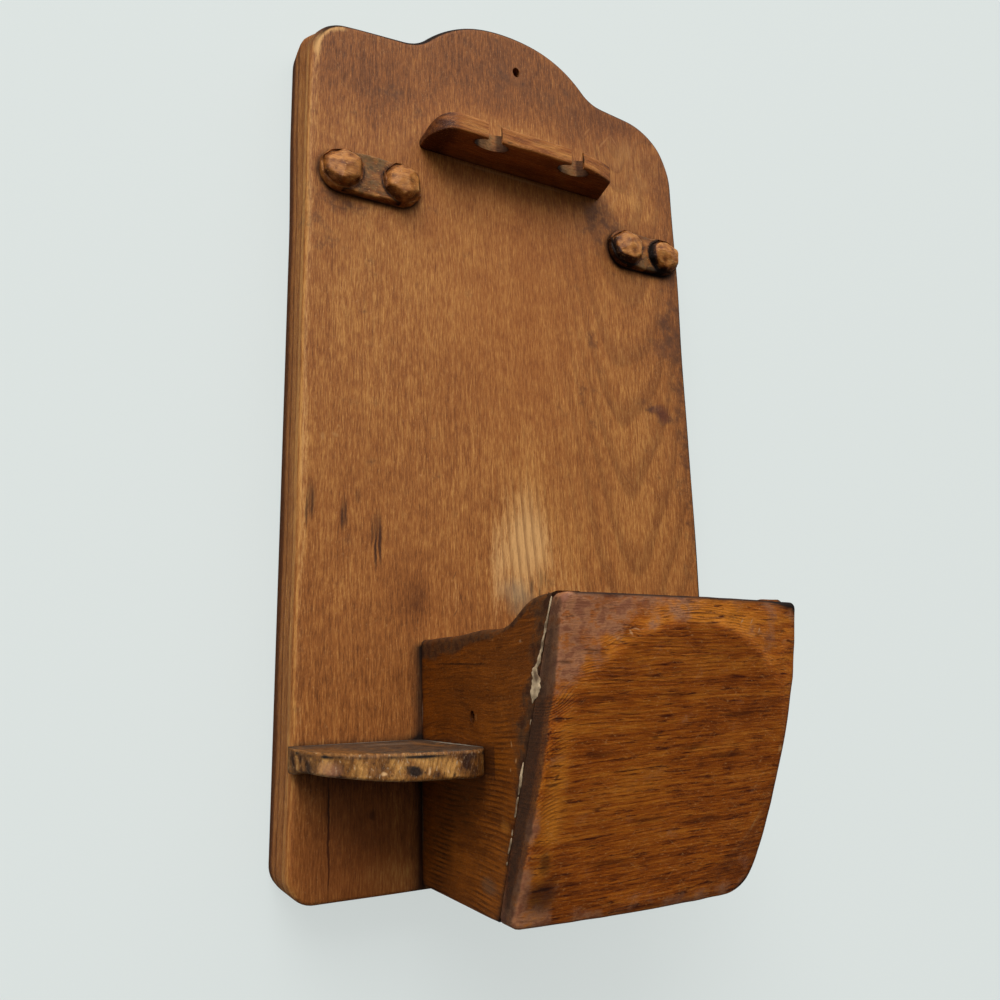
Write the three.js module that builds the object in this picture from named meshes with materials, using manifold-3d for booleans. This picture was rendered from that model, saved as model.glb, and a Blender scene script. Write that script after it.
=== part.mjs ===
// A wall-hung wooden notepad holder. A scrolled board carries an open box with a leaning
// front, a small shelf on each side of the box, a pair of knobs above each shelf, and a
// rail with two notches between the pairs of knobs.
//
// Millimetres, +Z up. +X is to the right for someone facing the board, +Y runs into the
// wall. The origin is the middle of the board's back face, where it lies on the wall.
// The pieces are drawn in a group of their own, whose zero is the middle of the board's
// foot, on its front face. In that group y is negative in front of the board.

import * as THREE from 'three';
import { mergeVertices } from 'three/addons/utils/BufferGeometryUtils.js';
import Module from 'manifold-3d';

const wasm = await Module();
wasm.setup();

// Board
const BOARD_WIDTH = 152;
const BOARD_HEIGHT = 301;
const BOARD_THICKNESS = 22;
const BOARD_ARRIS = 1.3;
const FOOT_CORNER_RADIUS = 8;
const ARCH_RADIUS = 47;
const HOLLOW_RADIUS = 14;
const SHOULDER_BELOW_ARCH = 21.6;
const SHOULDER_SLOPE = 0.1;
const LEFT_SHOULDER_RADIUS = 11;
const RIGHT_SHOULDER_RADIUS = 24;
const NAIL_HOLE_DIAMETER = 2.4;
const NAIL_HOLE_BELOW_ARCH = 15;
const NAIL_HOLE_OFFSET = 3.1;

// Box
const BOX_WIDTH = 74.8;
const BOX_OFFSET = 0.7;
const BOX_FOOT = 1.8;
const BOX_DEPTH_AT_FOOT = 47.7;
const BOX_LEAN = THREE.MathUtils.degToRad(21.5);
const SIDE_THICKNESS = 8;
const SIDE_HEIGHT_AT_BOARD = 70;
const SIDE_HEIGHT_AT_FRONT = 77;
const SIDE_CREST_LENGTH = 5.5;
const SIDE_SWEEP_LENGTH = 25;
const FRONT_THICKNESS = 7.8;
const FRONT_DROP_LEFT = 0.6;
const FRONT_DROP_RIGHT = 2.2;
const FRONT_DRAW_IN = 2.1;
const FRONT_DRAW_LENGTH = 28.8;
const FRONT_FOOT_RADIUS = 11;
const FRONT_CORNER_RADIUS = 2;
const FIELD_RADIUS = 36;
const FIELD_HEIGHT = 35.5;
const BEVEL_SPREAD = 6.5;
const BEVEL_SHIFT = 1.9;
const BEVEL_DEPTH = 9;
const BOTTOM_THICKNESS = 7;
const GLUE_GAP = 0.3;

// Shelves
const SHELF_HEIGHT = 42.3;
const SHELF_THICKNESS = 7.2;
const SHELF_DEPTH = 47.4;
const SHELF_OUTER_RADIUS = 32;
const SHELF_INNER_RADIUS = 5;
const SHELF_ARRIS = 1.2;
const SHELF_PAST_BOARD = 0.8;

// Knob blocks
const BLOCK_HEIGHT = 14.4;
const BLOCK_SADDLE = 3;
const KNOB_REACH = 6.6;
const KNOB_FACE_RADIUS = 5.6;
const KNOB_SHANK_REACH = 4.6;
const KNOB_SIDES = 11;
const KNOB_INSET = 0.2;
const LEFT_BLOCK_LENGTH = 35;
const LEFT_BLOCK_FROM_EDGE = 3.8;
const LEFT_BLOCK_ABOVE_FOOT = 223.6;
const LEFT_KNOB_TURNS = [0.1, 0.4];
const RIGHT_BLOCK_LENGTH = 32;
const RIGHT_BLOCK_FROM_EDGE = 2.4;
const RIGHT_BLOCK_ABOVE_FOOT = 222.3;
const RIGHT_KNOB_TURNS = [0.25, 0];

// Rail
const RAIL_LENGTH = 76;
const RAIL_DEPTH = 15.6;
const RAIL_THICKNESS = 6.5;
const RAIL_ABOVE_FOOT = 241.3;
const RAIL_THUMB_LENGTH = 9;
const RAIL_THUMB_TOP = 8;
const RAIL_WALL_CORNER = 3;
const RAIL_CLIP_LENGTH = 13;
const RAIL_CLIP_DEPTH = 3.5;
const RAIL_END_SLANT = 2.2;
const RAIL_FULLNESS = 0.65;
const NOTCH_CENTRES = [-14.8, 18.9];
const NOTCH_WIDTH = 13;
const NOTCH_DEPTH = 5.4;
const NOTCH_MOUTH = 5.3;
const NOTCH_LIP = 0.6;

// Fineness of the curves
const ARC_STEPS = 14;
const ARRIS_STEPS = 3;
const FIELD_STEPS = 56;

// Room that a cutting tool runs past what it cuts
const CUT_ROOM = 2;

// Where the box's outer faces stand
const BOX_LEFT = BOX_OFFSET - BOX_WIDTH / 2;
const BOX_RIGHT = BOX_OFFSET + BOX_WIDTH / 2;

// Finishes
const boardPine = new THREE.MeshStandardMaterial({ color: 0x8f5c33, roughness: 0.5, metalness: 0 });
const boxPine = new THREE.MeshStandardMaterial({ color: 0x74430f, roughness: 0.4, metalness: 0 });
const sidePine = new THREE.MeshStandardMaterial({ color: 0x4a2a0c, roughness: 0.5, metalness: 0 });
const wornPine = new THREE.MeshStandardMaterial({ color: 0x94683a, roughness: 0.6, metalness: 0 });

// A closed geometry as a solid that can be joined and cut.
function solidOf(geometry) {
  const bare = geometry.clone();
  bare.deleteAttribute('normal');
  bare.deleteAttribute('uv');
  const merged = mergeVertices(bare, 1e-4);
  return new wasm.Manifold(new wasm.Mesh({
    numProp: 3,
    vertProperties: new Float32Array(merged.attributes.position.array),
    triVerts: new Uint32Array(merged.index.array),
  }));
}

// A joined or cut solid as a geometry again.
function geometryOf(solid) {
  const mesh = solid.getMesh();
  const geometry = new THREE.BufferGeometry();
  geometry.setAttribute('position', new THREE.BufferAttribute(mesh.vertProperties, 3));
  geometry.setIndex(new THREE.BufferAttribute(mesh.triVerts, 1));
  geometry.computeVertexNormals();
  return geometry;
}

// Extrudes an outline with its arrises rounded inside the outline's own size.
function extrude(outline, depth, arris = 0) {
  return new THREE.ExtrudeGeometry(outline, {
    depth: depth - 2 * arris,
    curveSegments: ARC_STEPS,
    bevelEnabled: arris > 0,
    bevelThickness: arris,
    bevelSize: arris,
    bevelOffset: -arris,
    bevelSegments: ARRIS_STEPS,
  }).translate(0, 0, arris);
}

// An outline drawn as (x, height), standing out from y = from by depth.
function standOut(outline, from, depth, arris = 0) {
  return extrude(outline, depth, arris).rotateX(Math.PI / 2).translate(0, from, 0);
}

// An outline drawn as (y, height), running to the right from x = from by width.
function runAcross(outline, from, width) {
  const turn = new THREE.Matrix4().makeBasis(
    new THREE.Vector3(0, 1, 0),
    new THREE.Vector3(0, 0, 1),
    new THREE.Vector3(1, 0, 0),
  );
  return extrude(outline, width).applyMatrix4(turn).translate(from, 0, 0);
}

// A plan drawn as (x, y), rising from z = from by height.
function riseUp(plan, from, height, arris = 0) {
  return extrude(plan, height, arris).translate(0, 0, from);
}

// Half of the scrolled top: where its arcs meet, on the right of the middle line. The
// shoulder is a straight line that falls outwards, z = crown - slope * x. The hollow
// is a circle that touches that line from above and the arch from outside.
function scrollHalf(shoulderRadius) {
  const tilt = Math.hypot(1, SHOULDER_SLOPE);
  const archHeight = BOARD_HEIGHT - ARCH_RADIUS;
  const shoulderEnd = BOARD_HEIGHT - SHOULDER_BELOW_ARCH;
  const crown = shoulderEnd + SHOULDER_SLOPE * BOARD_WIDTH / 2;
  const reach = ARCH_RADIUS + HOLLOW_RADIUS;
  const rise = crown + HOLLOW_RADIUS * tilt - archHeight;
  const root = Math.sqrt((tilt * reach) ** 2 - rise ** 2);
  const hollowX = (rise * SHOULDER_SLOPE + root) / tilt ** 2;
  const hollowZ = archHeight + rise - SHOULDER_SLOPE * hollowX;
  const cornerX = BOARD_WIDTH / 2 - shoulderRadius;
  const cornerZ = crown - SHOULDER_SLOPE * cornerX - shoulderRadius * tilt;
  const lineAngle = Math.atan2(1, SHOULDER_SLOPE);
  const archAngle = Math.atan2(hollowZ - archHeight, hollowX);
  return { archHeight, hollowX, hollowZ, cornerX, cornerZ, lineAngle, archAngle };
}

// The board's outline, from its foot up the right side, over the scroll and down the left.
function boardOutline() {
  const half = BOARD_WIDTH / 2;
  const foot = FOOT_CORNER_RADIUS;
  const right = scrollHalf(RIGHT_SHOULDER_RADIUS);
  const left = scrollHalf(LEFT_SHOULDER_RADIUS);
  const outline = new THREE.Shape();
  outline.moveTo(-half + foot, 0);
  outline.lineTo(half - foot, 0);
  outline.absarc(half - foot, foot, foot, -Math.PI / 2, 0, false);
  outline.absarc(right.cornerX, right.cornerZ, RIGHT_SHOULDER_RADIUS, 0, right.lineAngle, false);
  outline.absarc(right.hollowX, right.hollowZ, HOLLOW_RADIUS,
    right.lineAngle - Math.PI, right.archAngle - Math.PI, true);
  outline.absarc(0, right.archHeight, ARCH_RADIUS, right.archAngle, Math.PI - left.archAngle, false);
  outline.absarc(-left.hollowX, left.hollowZ, HOLLOW_RADIUS,
    -left.archAngle, -left.lineAngle, true);
  outline.absarc(-left.cornerX, left.cornerZ, LEFT_SHOULDER_RADIUS,
    Math.PI - left.lineAngle, Math.PI, false);
  outline.absarc(-half + foot, foot, foot, Math.PI, Math.PI * 1.5, false);
  return outline;
}

// The upright board, with its nail hole right through.
function backboard() {
  const board = standOut(boardOutline(), BOARD_THICKNESS, BOARD_THICKNESS, BOARD_ARRIS);
  const hole = new THREE.CylinderGeometry(
    NAIL_HOLE_DIAMETER / 2, NAIL_HOLE_DIAMETER / 2, BOARD_THICKNESS + 2 * CUT_ROOM, ARC_STEPS,
  ).translate(NAIL_HOLE_OFFSET, BOARD_THICKNESS / 2, BOARD_HEIGHT - NAIL_HOLE_BELOW_ARCH);
  return geometryOf(solidOf(board).subtract(solidOf(hole)));
}

// How far in front of the board the side panels' leaning edge stands at a height.
function sideEdge(height) {
  return -BOX_DEPTH_AT_FOOT - Math.tan(BOX_LEAN) * (height - BOX_FOOT);
}

// A side panel: level along the board, then swept up to a crest at the front.
function boxSide(from) {
  const low = BOX_FOOT + SIDE_HEIGHT_AT_BOARD;
  const high = BOX_FOOT + SIDE_HEIGHT_AT_FRONT;
  const crestFront = sideEdge(high);
  const crestBack = crestFront + SIDE_CREST_LENGTH;
  const sweepBack = crestBack + SIDE_SWEEP_LENGTH;
  const middle = (crestBack + sweepBack) / 2;
  const profile = new THREE.Shape();
  profile.moveTo(0, BOX_FOOT);
  profile.lineTo(0, low);
  profile.lineTo(sweepBack, low);
  profile.bezierCurveTo(middle, low, middle, high, crestBack, high);
  profile.lineTo(crestFront, high);
  profile.lineTo(sideEdge(BOX_FOOT), BOX_FOOT);
  profile.closePath();
  return runAcross(profile, from, SIDE_THICKNESS);
}

// The front plank's outline: square on the left, and on the right a wide round at the
// foot and an edge that draws in towards the top.
function frontOutline() {
  const corner = FRONT_CORNER_RADIUS;
  const foot = FRONT_FOOT_RADIUS;
  const topLeft = BOX_FOOT + SIDE_HEIGHT_AT_FRONT - FRONT_DROP_LEFT;
  const topRight = BOX_FOOT + SIDE_HEIGHT_AT_FRONT - FRONT_DROP_RIGHT;
  const straight = topRight - FRONT_DRAW_LENGTH;
  const drawn = BOX_RIGHT - FRONT_DRAW_IN;
  const outline = new THREE.Shape();
  outline.moveTo(BOX_LEFT + corner, BOX_FOOT);
  outline.absarc(BOX_RIGHT - foot, BOX_FOOT + foot, foot, -Math.PI / 2, 0, false);
  outline.lineTo(BOX_RIGHT, straight);
  outline.quadraticCurveTo(BOX_RIGHT, (straight + topRight) / 2, drawn, topRight - corner);
  outline.absarc(drawn - corner, topRight - corner, corner, 0, Math.PI / 2, false);
  outline.absarc(BOX_LEFT + corner, topLeft - corner, corner, Math.PI / 2, Math.PI, false);
  outline.absarc(BOX_LEFT + corner, BOX_FOOT + corner, corner, Math.PI, Math.PI * 1.5, false);
  return outline;
}

// The cutter that leaves the round field: a blunt cone with its flat top on the plank's
// face. At a depth d below the face its radius is field + spread * d, and its centre has
// moved down the plank by shift * d, so the bevel is steep at the head, shallow at the foot.
function fieldCone(faceY, faceZ) {
  const wide = FIELD_RADIUS + BEVEL_SPREAD * BEVEL_DEPTH;
  const cone = new THREE.LatheGeometry([
    new THREE.Vector2(0, -BEVEL_DEPTH),
    new THREE.Vector2(wide, -BEVEL_DEPTH),
    new THREE.Vector2(FIELD_RADIUS, 0),
    new THREE.Vector2(0, 0),
  ], FIELD_STEPS);
  const slant = new THREE.Matrix4().makeShear(0, 0, 0, -BEVEL_SHIFT, 0, 0);
  cone.applyMatrix4(slant);
  return cone.rotateX(Math.PI + BOX_LEAN).translate(BOX_OFFSET, faceY, faceZ);
}

// The front plank: a leaning slab, cut to its outline and to the cone of the round field.
function boxFront() {
  const top = BOX_FOOT + SIDE_HEIGHT_AT_FRONT + CUT_ROOM;
  const across = FRONT_THICKNESS / Math.cos(BOX_LEAN);
  const back = sideEdge(BOX_FOOT) - GLUE_GAP;
  const backTop = sideEdge(top) - GLUE_GAP;
  const section = new THREE.Shape();
  section.moveTo(back, BOX_FOOT);
  section.lineTo(backTop, top);
  section.lineTo(backTop - across, top);
  section.lineTo(back - across, BOX_FOOT);
  section.closePath();
  const slab = solidOf(runAcross(section, BOX_LEFT, BOX_WIDTH));
  const cut = solidOf(standOut(frontOutline(), 0, across + CUT_ROOM - backTop));
  const fieldZ = BOX_FOOT + FIELD_HEIGHT;
  const cone = solidOf(fieldCone(sideEdge(fieldZ) - GLUE_GAP - across, fieldZ));
  return geometryOf(slab.intersect(cut).intersect(cone));
}

// The bottom, let in between the sides, its front edge cut to the lean of the front.
function boxBottom() {
  const inner = BOX_WIDTH - 2 * SIDE_THICKNESS;
  const top = BOX_FOOT + BOTTOM_THICKNESS;
  const section = new THREE.Shape();
  section.moveTo(0, BOX_FOOT);
  section.lineTo(0, top);
  section.lineTo(sideEdge(top), top);
  section.lineTo(sideEdge(BOX_FOOT), BOX_FOOT);
  section.closePath();
  return runAcross(section, BOX_OFFSET - inner / 2, inner);
}

// A corner shelf: square to the board and the box, with a wide round at its outer
// corner and a small one beside the box. side is -1 on the left and 1 on the right.
function cornerShelf(side) {
  const inner = BOX_WIDTH / 2 + side * BOX_OFFSET;
  const outer = BOARD_WIDTH / 2 + SHELF_PAST_BOARD;
  const small = SHELF_INNER_RADIUS;
  const wide = Math.min(SHELF_OUTER_RADIUS, outer - inner - small, SHELF_DEPTH);
  const plan = new THREE.Shape();
  plan.moveTo(inner, 0);
  plan.lineTo(outer, 0);
  plan.absarc(outer - wide, wide - SHELF_DEPTH, wide, 0, -Math.PI / 2, true);
  plan.absarc(inner + small, small - SHELF_DEPTH, small, -Math.PI / 2, -Math.PI, true);
  const points = plan.getPoints(ARC_STEPS).map((point) => new THREE.Vector2(side * point.x, point.y));
  const base = SHELF_HEIGHT - SHELF_THICKNESS;
  return riseUp(new THREE.Shape(points), base, SHELF_THICKNESS, SHELF_ARRIS);
}

// One whittled knob: a shank of flats, flared at its root, with a chamfered flat face.
function knob(x, height, turn) {
  const rootRadius = BLOCK_HEIGHT / 2 - KNOB_INSET;
  const shape = new THREE.LatheGeometry([
    new THREE.Vector2(0, 0),
    new THREE.Vector2(rootRadius, 0),
    new THREE.Vector2(rootRadius, KNOB_SHANK_REACH),
    new THREE.Vector2(KNOB_FACE_RADIUS, KNOB_REACH),
    new THREE.Vector2(0, KNOB_REACH),
  ], KNOB_SIDES);
  return shape.rotateY(turn).rotateX(Math.PI).translate(x, 0, height);
}

// A knob block: a low saddle with round ends, and a knob standing on each end.
function knobBlock(centre, height, length, turns) {
  const radius = BLOCK_HEIGHT / 2;
  const reach = length / 2 - radius;
  const outline = new THREE.Shape();
  outline.absarc(centre + reach, height, radius, -Math.PI / 2, Math.PI / 2, false);
  outline.absarc(centre - reach, height, radius, Math.PI / 2, Math.PI * 1.5, false);
  const saddle = solidOf(standOut(outline, 0, BLOCK_SADDLE));
  const left = solidOf(knob(centre - reach, height, turns[0]));
  const right = solidOf(knob(centre + reach, height, turns[1]));
  return geometryOf(saddle.add(left).add(right));
}

// The rail's plan: a thumb-shaped left end and a clipped, slightly slanting right end.
function railPlan() {
  const left = -RAIL_LENGTH / 2;
  const right = RAIL_LENGTH / 2;
  const endFront = right - RAIL_END_SLANT;
  const short = 1 - RAIL_FULLNESS;
  const plan = new THREE.Shape();
  plan.moveTo(left + RAIL_WALL_CORNER, 0);
  plan.quadraticCurveTo(left, 0, left, -RAIL_WALL_CORNER);
  plan.bezierCurveTo(left, -RAIL_DEPTH * RAIL_FULLNESS, left + RAIL_THUMB_LENGTH * short,
    -RAIL_DEPTH, left + RAIL_THUMB_LENGTH, -RAIL_DEPTH);
  plan.lineTo(endFront - RAIL_CLIP_LENGTH, -RAIL_DEPTH);
  plan.quadraticCurveTo(endFront - RAIL_CLIP_LENGTH * short, -RAIL_DEPTH + RAIL_CLIP_DEPTH * short,
    endFront, -RAIL_DEPTH + RAIL_CLIP_DEPTH);
  plan.lineTo(right, 0);
  plan.closePath();
  return plan;
}

// The rail's face seen from the front: only its upper left corner is rounded off.
function railFace() {
  const left = -RAIL_LENGTH / 2;
  const right = RAIL_LENGTH / 2 + CUT_ROOM;
  const top = RAIL_ABOVE_FOOT + RAIL_THICKNESS;
  const bottom = RAIL_ABOVE_FOOT - CUT_ROOM;
  const short = 1 - RAIL_FULLNESS;
  const face = new THREE.Shape();
  face.moveTo(left - CUT_ROOM, bottom);
  face.lineTo(right, bottom);
  face.lineTo(right, top);
  face.lineTo(left + RAIL_THUMB_TOP, top);
  face.bezierCurveTo(left + RAIL_THUMB_TOP * short, top,
    left, top - RAIL_THICKNESS * short, left - CUT_ROOM, RAIL_ABOVE_FOOT);
  face.closePath();
  return face;
}

// One notch: an oval hole right through, with a narrower mouth at the rail's front.
function notch(centre) {
  const ovalY = -RAIL_DEPTH + NOTCH_LIP + NOTCH_DEPTH / 2;
  const oval = new THREE.Shape();
  oval.absellipse(centre, ovalY, NOTCH_WIDTH / 2, NOTCH_DEPTH / 2, 0, Math.PI * 2, false, 0);
  const mouth = new THREE.Shape();
  mouth.moveTo(centre - NOTCH_MOUTH / 2, ovalY);
  mouth.lineTo(centre - NOTCH_MOUTH / 2, -RAIL_DEPTH - CUT_ROOM);
  mouth.lineTo(centre + NOTCH_MOUTH / 2, -RAIL_DEPTH - CUT_ROOM);
  mouth.lineTo(centre + NOTCH_MOUTH / 2, ovalY);
  mouth.closePath();
  const from = RAIL_ABOVE_FOOT - CUT_ROOM;
  const height = RAIL_THICKNESS + 2 * CUT_ROOM;
  return solidOf(riseUp(oval, from, height)).add(solidOf(riseUp(mouth, from, height)));
}

// The notched rail, glued by its back edge to the board.
function notchedRail() {
  let rail = solidOf(riseUp(railPlan(), RAIL_ABOVE_FOOT, RAIL_THICKNESS));
  rail = rail.intersect(solidOf(standOut(railFace(), CUT_ROOM, RAIL_DEPTH + 2 * CUT_ROOM)));
  for (const centre of NOTCH_CENTRES) {
    rail = rail.subtract(notch(centre));
  }
  return geometryOf(rail);
}

// Every piece in the group drawn from the board's foot.
const pieces = new THREE.Group();
pieces.position.set(0, -BOARD_THICKNESS, -BOARD_HEIGHT / 2);

function addPiece(name, geometry, material) {
  const mesh = new THREE.Mesh(geometry, material);
  mesh.name = name;
  pieces.add(mesh);
}

const leftBlock = LEFT_BLOCK_FROM_EDGE + (LEFT_BLOCK_LENGTH - BOARD_WIDTH) / 2;
const rightBlock = (BOARD_WIDTH - RIGHT_BLOCK_LENGTH) / 2 - RIGHT_BLOCK_FROM_EDGE;
addPiece('backboard', backboard(), boardPine);
addPiece('notched_rail', notchedRail(), boardPine.clone());
addPiece('left_knob_block',
  knobBlock(leftBlock, LEFT_BLOCK_ABOVE_FOOT, LEFT_BLOCK_LENGTH, LEFT_KNOB_TURNS), wornPine);
addPiece('right_knob_block',
  knobBlock(rightBlock, RIGHT_BLOCK_ABOVE_FOOT, RIGHT_BLOCK_LENGTH, RIGHT_KNOB_TURNS),
  wornPine.clone());
addPiece('box_left_side', boxSide(BOX_LEFT), sidePine);
addPiece('box_right_side', boxSide(BOX_RIGHT - SIDE_THICKNESS), sidePine.clone());
addPiece('box_front', boxFront(), boxPine);
addPiece('box_bottom', boxBottom(), sidePine.clone());
addPiece('left_shelf', cornerShelf(-1), wornPine.clone());
addPiece('right_shelf', cornerShelf(1), wornPine.clone());

const holder = new THREE.Group();
holder.name = 'notepad_holder';
holder.add(pieces);

export default holder;
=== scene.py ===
import logging
import math
from dataclasses import dataclass
from enum import Enum

import bmesh
import bpy
import numpy as np
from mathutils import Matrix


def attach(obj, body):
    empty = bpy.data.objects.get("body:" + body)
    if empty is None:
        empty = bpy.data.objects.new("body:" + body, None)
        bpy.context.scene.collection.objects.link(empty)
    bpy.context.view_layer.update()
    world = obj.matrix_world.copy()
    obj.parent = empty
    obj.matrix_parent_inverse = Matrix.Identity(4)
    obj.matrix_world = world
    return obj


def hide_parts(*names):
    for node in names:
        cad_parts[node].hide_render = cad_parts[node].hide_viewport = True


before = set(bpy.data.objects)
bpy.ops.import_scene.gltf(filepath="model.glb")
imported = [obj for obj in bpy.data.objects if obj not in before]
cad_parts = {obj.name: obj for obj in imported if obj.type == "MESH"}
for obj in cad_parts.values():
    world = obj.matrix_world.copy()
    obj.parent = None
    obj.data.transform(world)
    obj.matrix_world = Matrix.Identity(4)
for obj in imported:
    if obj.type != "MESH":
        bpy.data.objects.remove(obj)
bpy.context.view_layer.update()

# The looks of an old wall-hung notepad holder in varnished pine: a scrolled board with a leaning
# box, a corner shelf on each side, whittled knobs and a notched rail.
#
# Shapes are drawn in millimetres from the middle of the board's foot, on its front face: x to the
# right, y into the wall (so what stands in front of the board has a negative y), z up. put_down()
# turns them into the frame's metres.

MM = 0.001
DRAWN_FROM = np.array([0.0, -22.0, -150.5])
TAU = 2 * math.pi
log = logging.getLogger("notepad_holder")

# what several pieces share, in drawing millimetres
BOX_LEFT, BOX_RIGHT, BOX_TOP = -36.7, 38.1, 71.8
SHELF_TOP, SHELF_THICK = 42.3, 7.2
SHELF_MIDDLE = SHELF_TOP - SHELF_THICK / 2
# of each knob block: middle, height, half the middle line's length, radius
LEFT_BLOCK = (-54.7, 223.6, 10.3, 7.2)
RIGHT_BLOCK = (57.6, 222.3, 8.8, 7.2)
NAIL_HOLE = (-35.0, 49.5)


# ------------------------------------------------------------------------------ small tools

def linear(hex_colour: str) -> tuple[float, float, float, float]:
    """Turn an sRGB hex colour into linear light.

    Args:
        hex_colour: a # and six hex digits.
    Returns:
        Red, green and blue as c / 12.92 below 0.04045, else ((c + 0.055) / 1.055) ^ 2.4, and 1.
    """
    parts = np.array([int(hex_colour[i:i + 2], 16) / 255 for i in (1, 3, 5)])
    light = np.where(parts <= 0.04045, parts / 12.92, ((parts + 0.055) / 1.055) ** 2.4)
    return (*light.tolist(), 1.0)


def sways(points: np.ndarray, wave: float, seed: int) -> np.ndarray:
    """A smooth random unevenness, about -1 to 1.

    The sum of eight sines, sin(k . p + phase), whose directions are random and whose wave
    lengths lie between 0.7 and 1.5 times the one given, divided by 3.

    Args:
        points: (..., 3) places in millimetres.
        wave: the middle wave length in millimetres.
        seed: which unevenness.
    Returns:
        An array of the shape (...).
    """
    rng = np.random.default_rng(seed)
    ways = rng.normal(size=(8, 3))
    ways *= (TAU / (wave * rng.uniform(0.7, 1.5, 8)) / np.linalg.norm(ways, axis=1))[:, None]
    return np.sin(points @ ways.T + rng.uniform(0, TAU, 8)).sum(axis=-1) / 3


def ease(value: np.ndarray, low: float, high: float) -> np.ndarray:
    """0 below low, 1 above high and t * t * (3 - 2 t) between them, also with low above high."""
    t = np.clip((value - low) / (high - low), 0, 1)
    return t * t * (3 - 2 * t)


def bell(value: np.ndarray, middle: float, reach: float) -> np.ndarray:
    """A soft hump: exp(-((value - middle) / reach)^2)."""
    return np.exp(-((value - middle) / reach) ** 2)


def near(distance: np.ndarray, reach: float) -> np.ndarray:
    """How close: exp(-distance / reach), with distances below 0 taken as 0."""
    return np.exp(-np.maximum(distance, 0) / reach)


def axes(points: np.ndarray) -> np.ndarray:
    """The coordinates of points one by one, as views: changing them moves the points."""
    return np.moveaxis(points, -1, 0)


def arc(a: float, b: float, radius: float, start: float, end: float, steps: int = 40) -> np.ndarray:
    """Points (a + r cos t, b + r sin t) for t in degrees from start to end."""
    t = np.radians(np.linspace(start, end, steps))
    return np.stack([a + radius * np.cos(t), b + radius * np.sin(t)], axis=1)


def bezier(*corners: tuple[float, float], steps: int = 40) -> np.ndarray:
    """Points of the Bezier curve: the sum of binomial(n, i) t^i (1 - t)^(n - i) corner_i."""
    t, n = np.linspace(0, 1, steps)[:, None], len(corners) - 1
    return sum(math.comb(n, i) * t ** i * (1 - t) ** (n - i) * np.array([c])
               for i, c in enumerate(corners))


def even(outline: np.ndarray, step: float) -> np.ndarray:
    """Walk a closed outline and mark it off at equal lengths close to step.

    Args:
        outline: (n, 2) corners, the last one joined to the first.
        step: the wanted length between marks.
    Returns:
        (m, 2) points, found between the corners in proportion to the length walked.
    """
    ring = np.vstack([outline, outline[:1]])
    walked = np.concatenate([[0], np.cumsum(np.linalg.norm(np.diff(ring, axis=0), axis=1))])
    count = max(12, round(walked[-1] / step))
    marks = np.arange(count) * walked[-1] / count
    return np.stack([np.interp(marks, walked, ring[:, k]) for k in (0, 1)], axis=1)


def inwards(outline: np.ndarray) -> np.ndarray:
    """Unit normals of an outline that runs counterclockwise, each the left turn of its tangent."""
    along = np.roll(outline, -1, axis=0) - np.roll(outline, 1, axis=0)
    along /= np.linalg.norm(along, axis=1, keepdims=True) + 1e-9
    return np.stack([-along[:, 1], along[:, 0]], axis=1)


@dataclass
class Slab:
    """A flat piece with an outline in the plane (a, b) and a thickness along a depth d.

    It is carried round the outline as one profile: from a spine in the middle of the front
    face out to the arris, round the arris as a quarter circle, down the wall, round the back
    arris and in again to the spine at the back.
    """
    outline: np.ndarray
    spine: tuple[tuple[float, float], tuple[float, float]]
    front: float
    back: float
    arris: np.ndarray | float
    back_arris: float
    front_rows: int
    wall_rows: int
    back_rows: int

    def rows(self) -> np.ndarray:
        """Work out the rows of the profile.

        An inset s at a depth d gives rim = outline + s * normal. On a face the point is
        rim + (spine point - rim) * t, with t from 0 to just under 1, and the spine point is the
        nearest one of the straight spine.

        Returns:
            (rows, points of the outline, 3) with (a, b, d).
        """
        start, end = (np.array(p, dtype=float) for p in self.spine)
        along = end - start
        share = ((self.outline - start) @ along) / max(along @ along, 1e-9)
        middle = start + np.clip(share, 0, 1)[:, None] * along
        way = 1.0 if self.back > self.front else -1.0
        none = np.zeros(len(self.outline))
        size, behind = self.arris + none, self.back_arris + none
        top, low = self.front + way * size, self.back - way * behind
        turns = np.linspace(0, math.pi / 2, 8)[1:-1]
        # of each row: its inset, its depth, and how far it lies on the way to the spine
        profile = [(size, self.front + none, t)
                   for t in np.linspace(0, 0.9995, self.front_rows)[::-1]]
        profile += [(size * (1 - math.sin(t)), self.front + way * size * (1 - math.cos(t)), 0)
                    for t in turns]
        profile += [(none, top + (low - top) * t, 0) for t in np.linspace(0, 1, self.wall_rows)]
        profile += [(behind * (1 - math.sin(t)), self.back - way * behind * (1 - math.cos(t)), 0)
                    for t in turns[::-1]]
        profile += [(behind, self.back + none, t) for t in np.linspace(0, 0.9995, self.back_rows)]
        inset, depth, share = (np.array(part) for part in zip(*profile))
        rim = self.outline + inwards(self.outline) * inset[..., None]
        flat = rim + (middle - rim) * share[:, None, None]
        return np.concatenate([flat, depth[..., None]], axis=-1)


def shell_faces(rows: int, around: int, first: int) -> list[list[int]]:
    """Faces of a closed shell of rows that run round, with a cap on its first and last row.

    Args:
        rows: how many rows.
        around: how many points in each row.
        first: the number of the first point.
    Returns:
        Lists of point numbers.
    """
    k, i = np.meshgrid(np.arange(rows - 1), np.arange(around), indexing="ij")
    j = (i + 1) % around
    quads = np.stack([k * around + i, k * around + j, (k + 1) * around + j,
                      (k + 1) * around + i], axis=-1).reshape(-1, 4) + first
    caps = [list(range(first, first + around))[::-1],
            list(range(first + (rows - 1) * around, first + rows * around))]
    return quads.tolist() + caps


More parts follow.
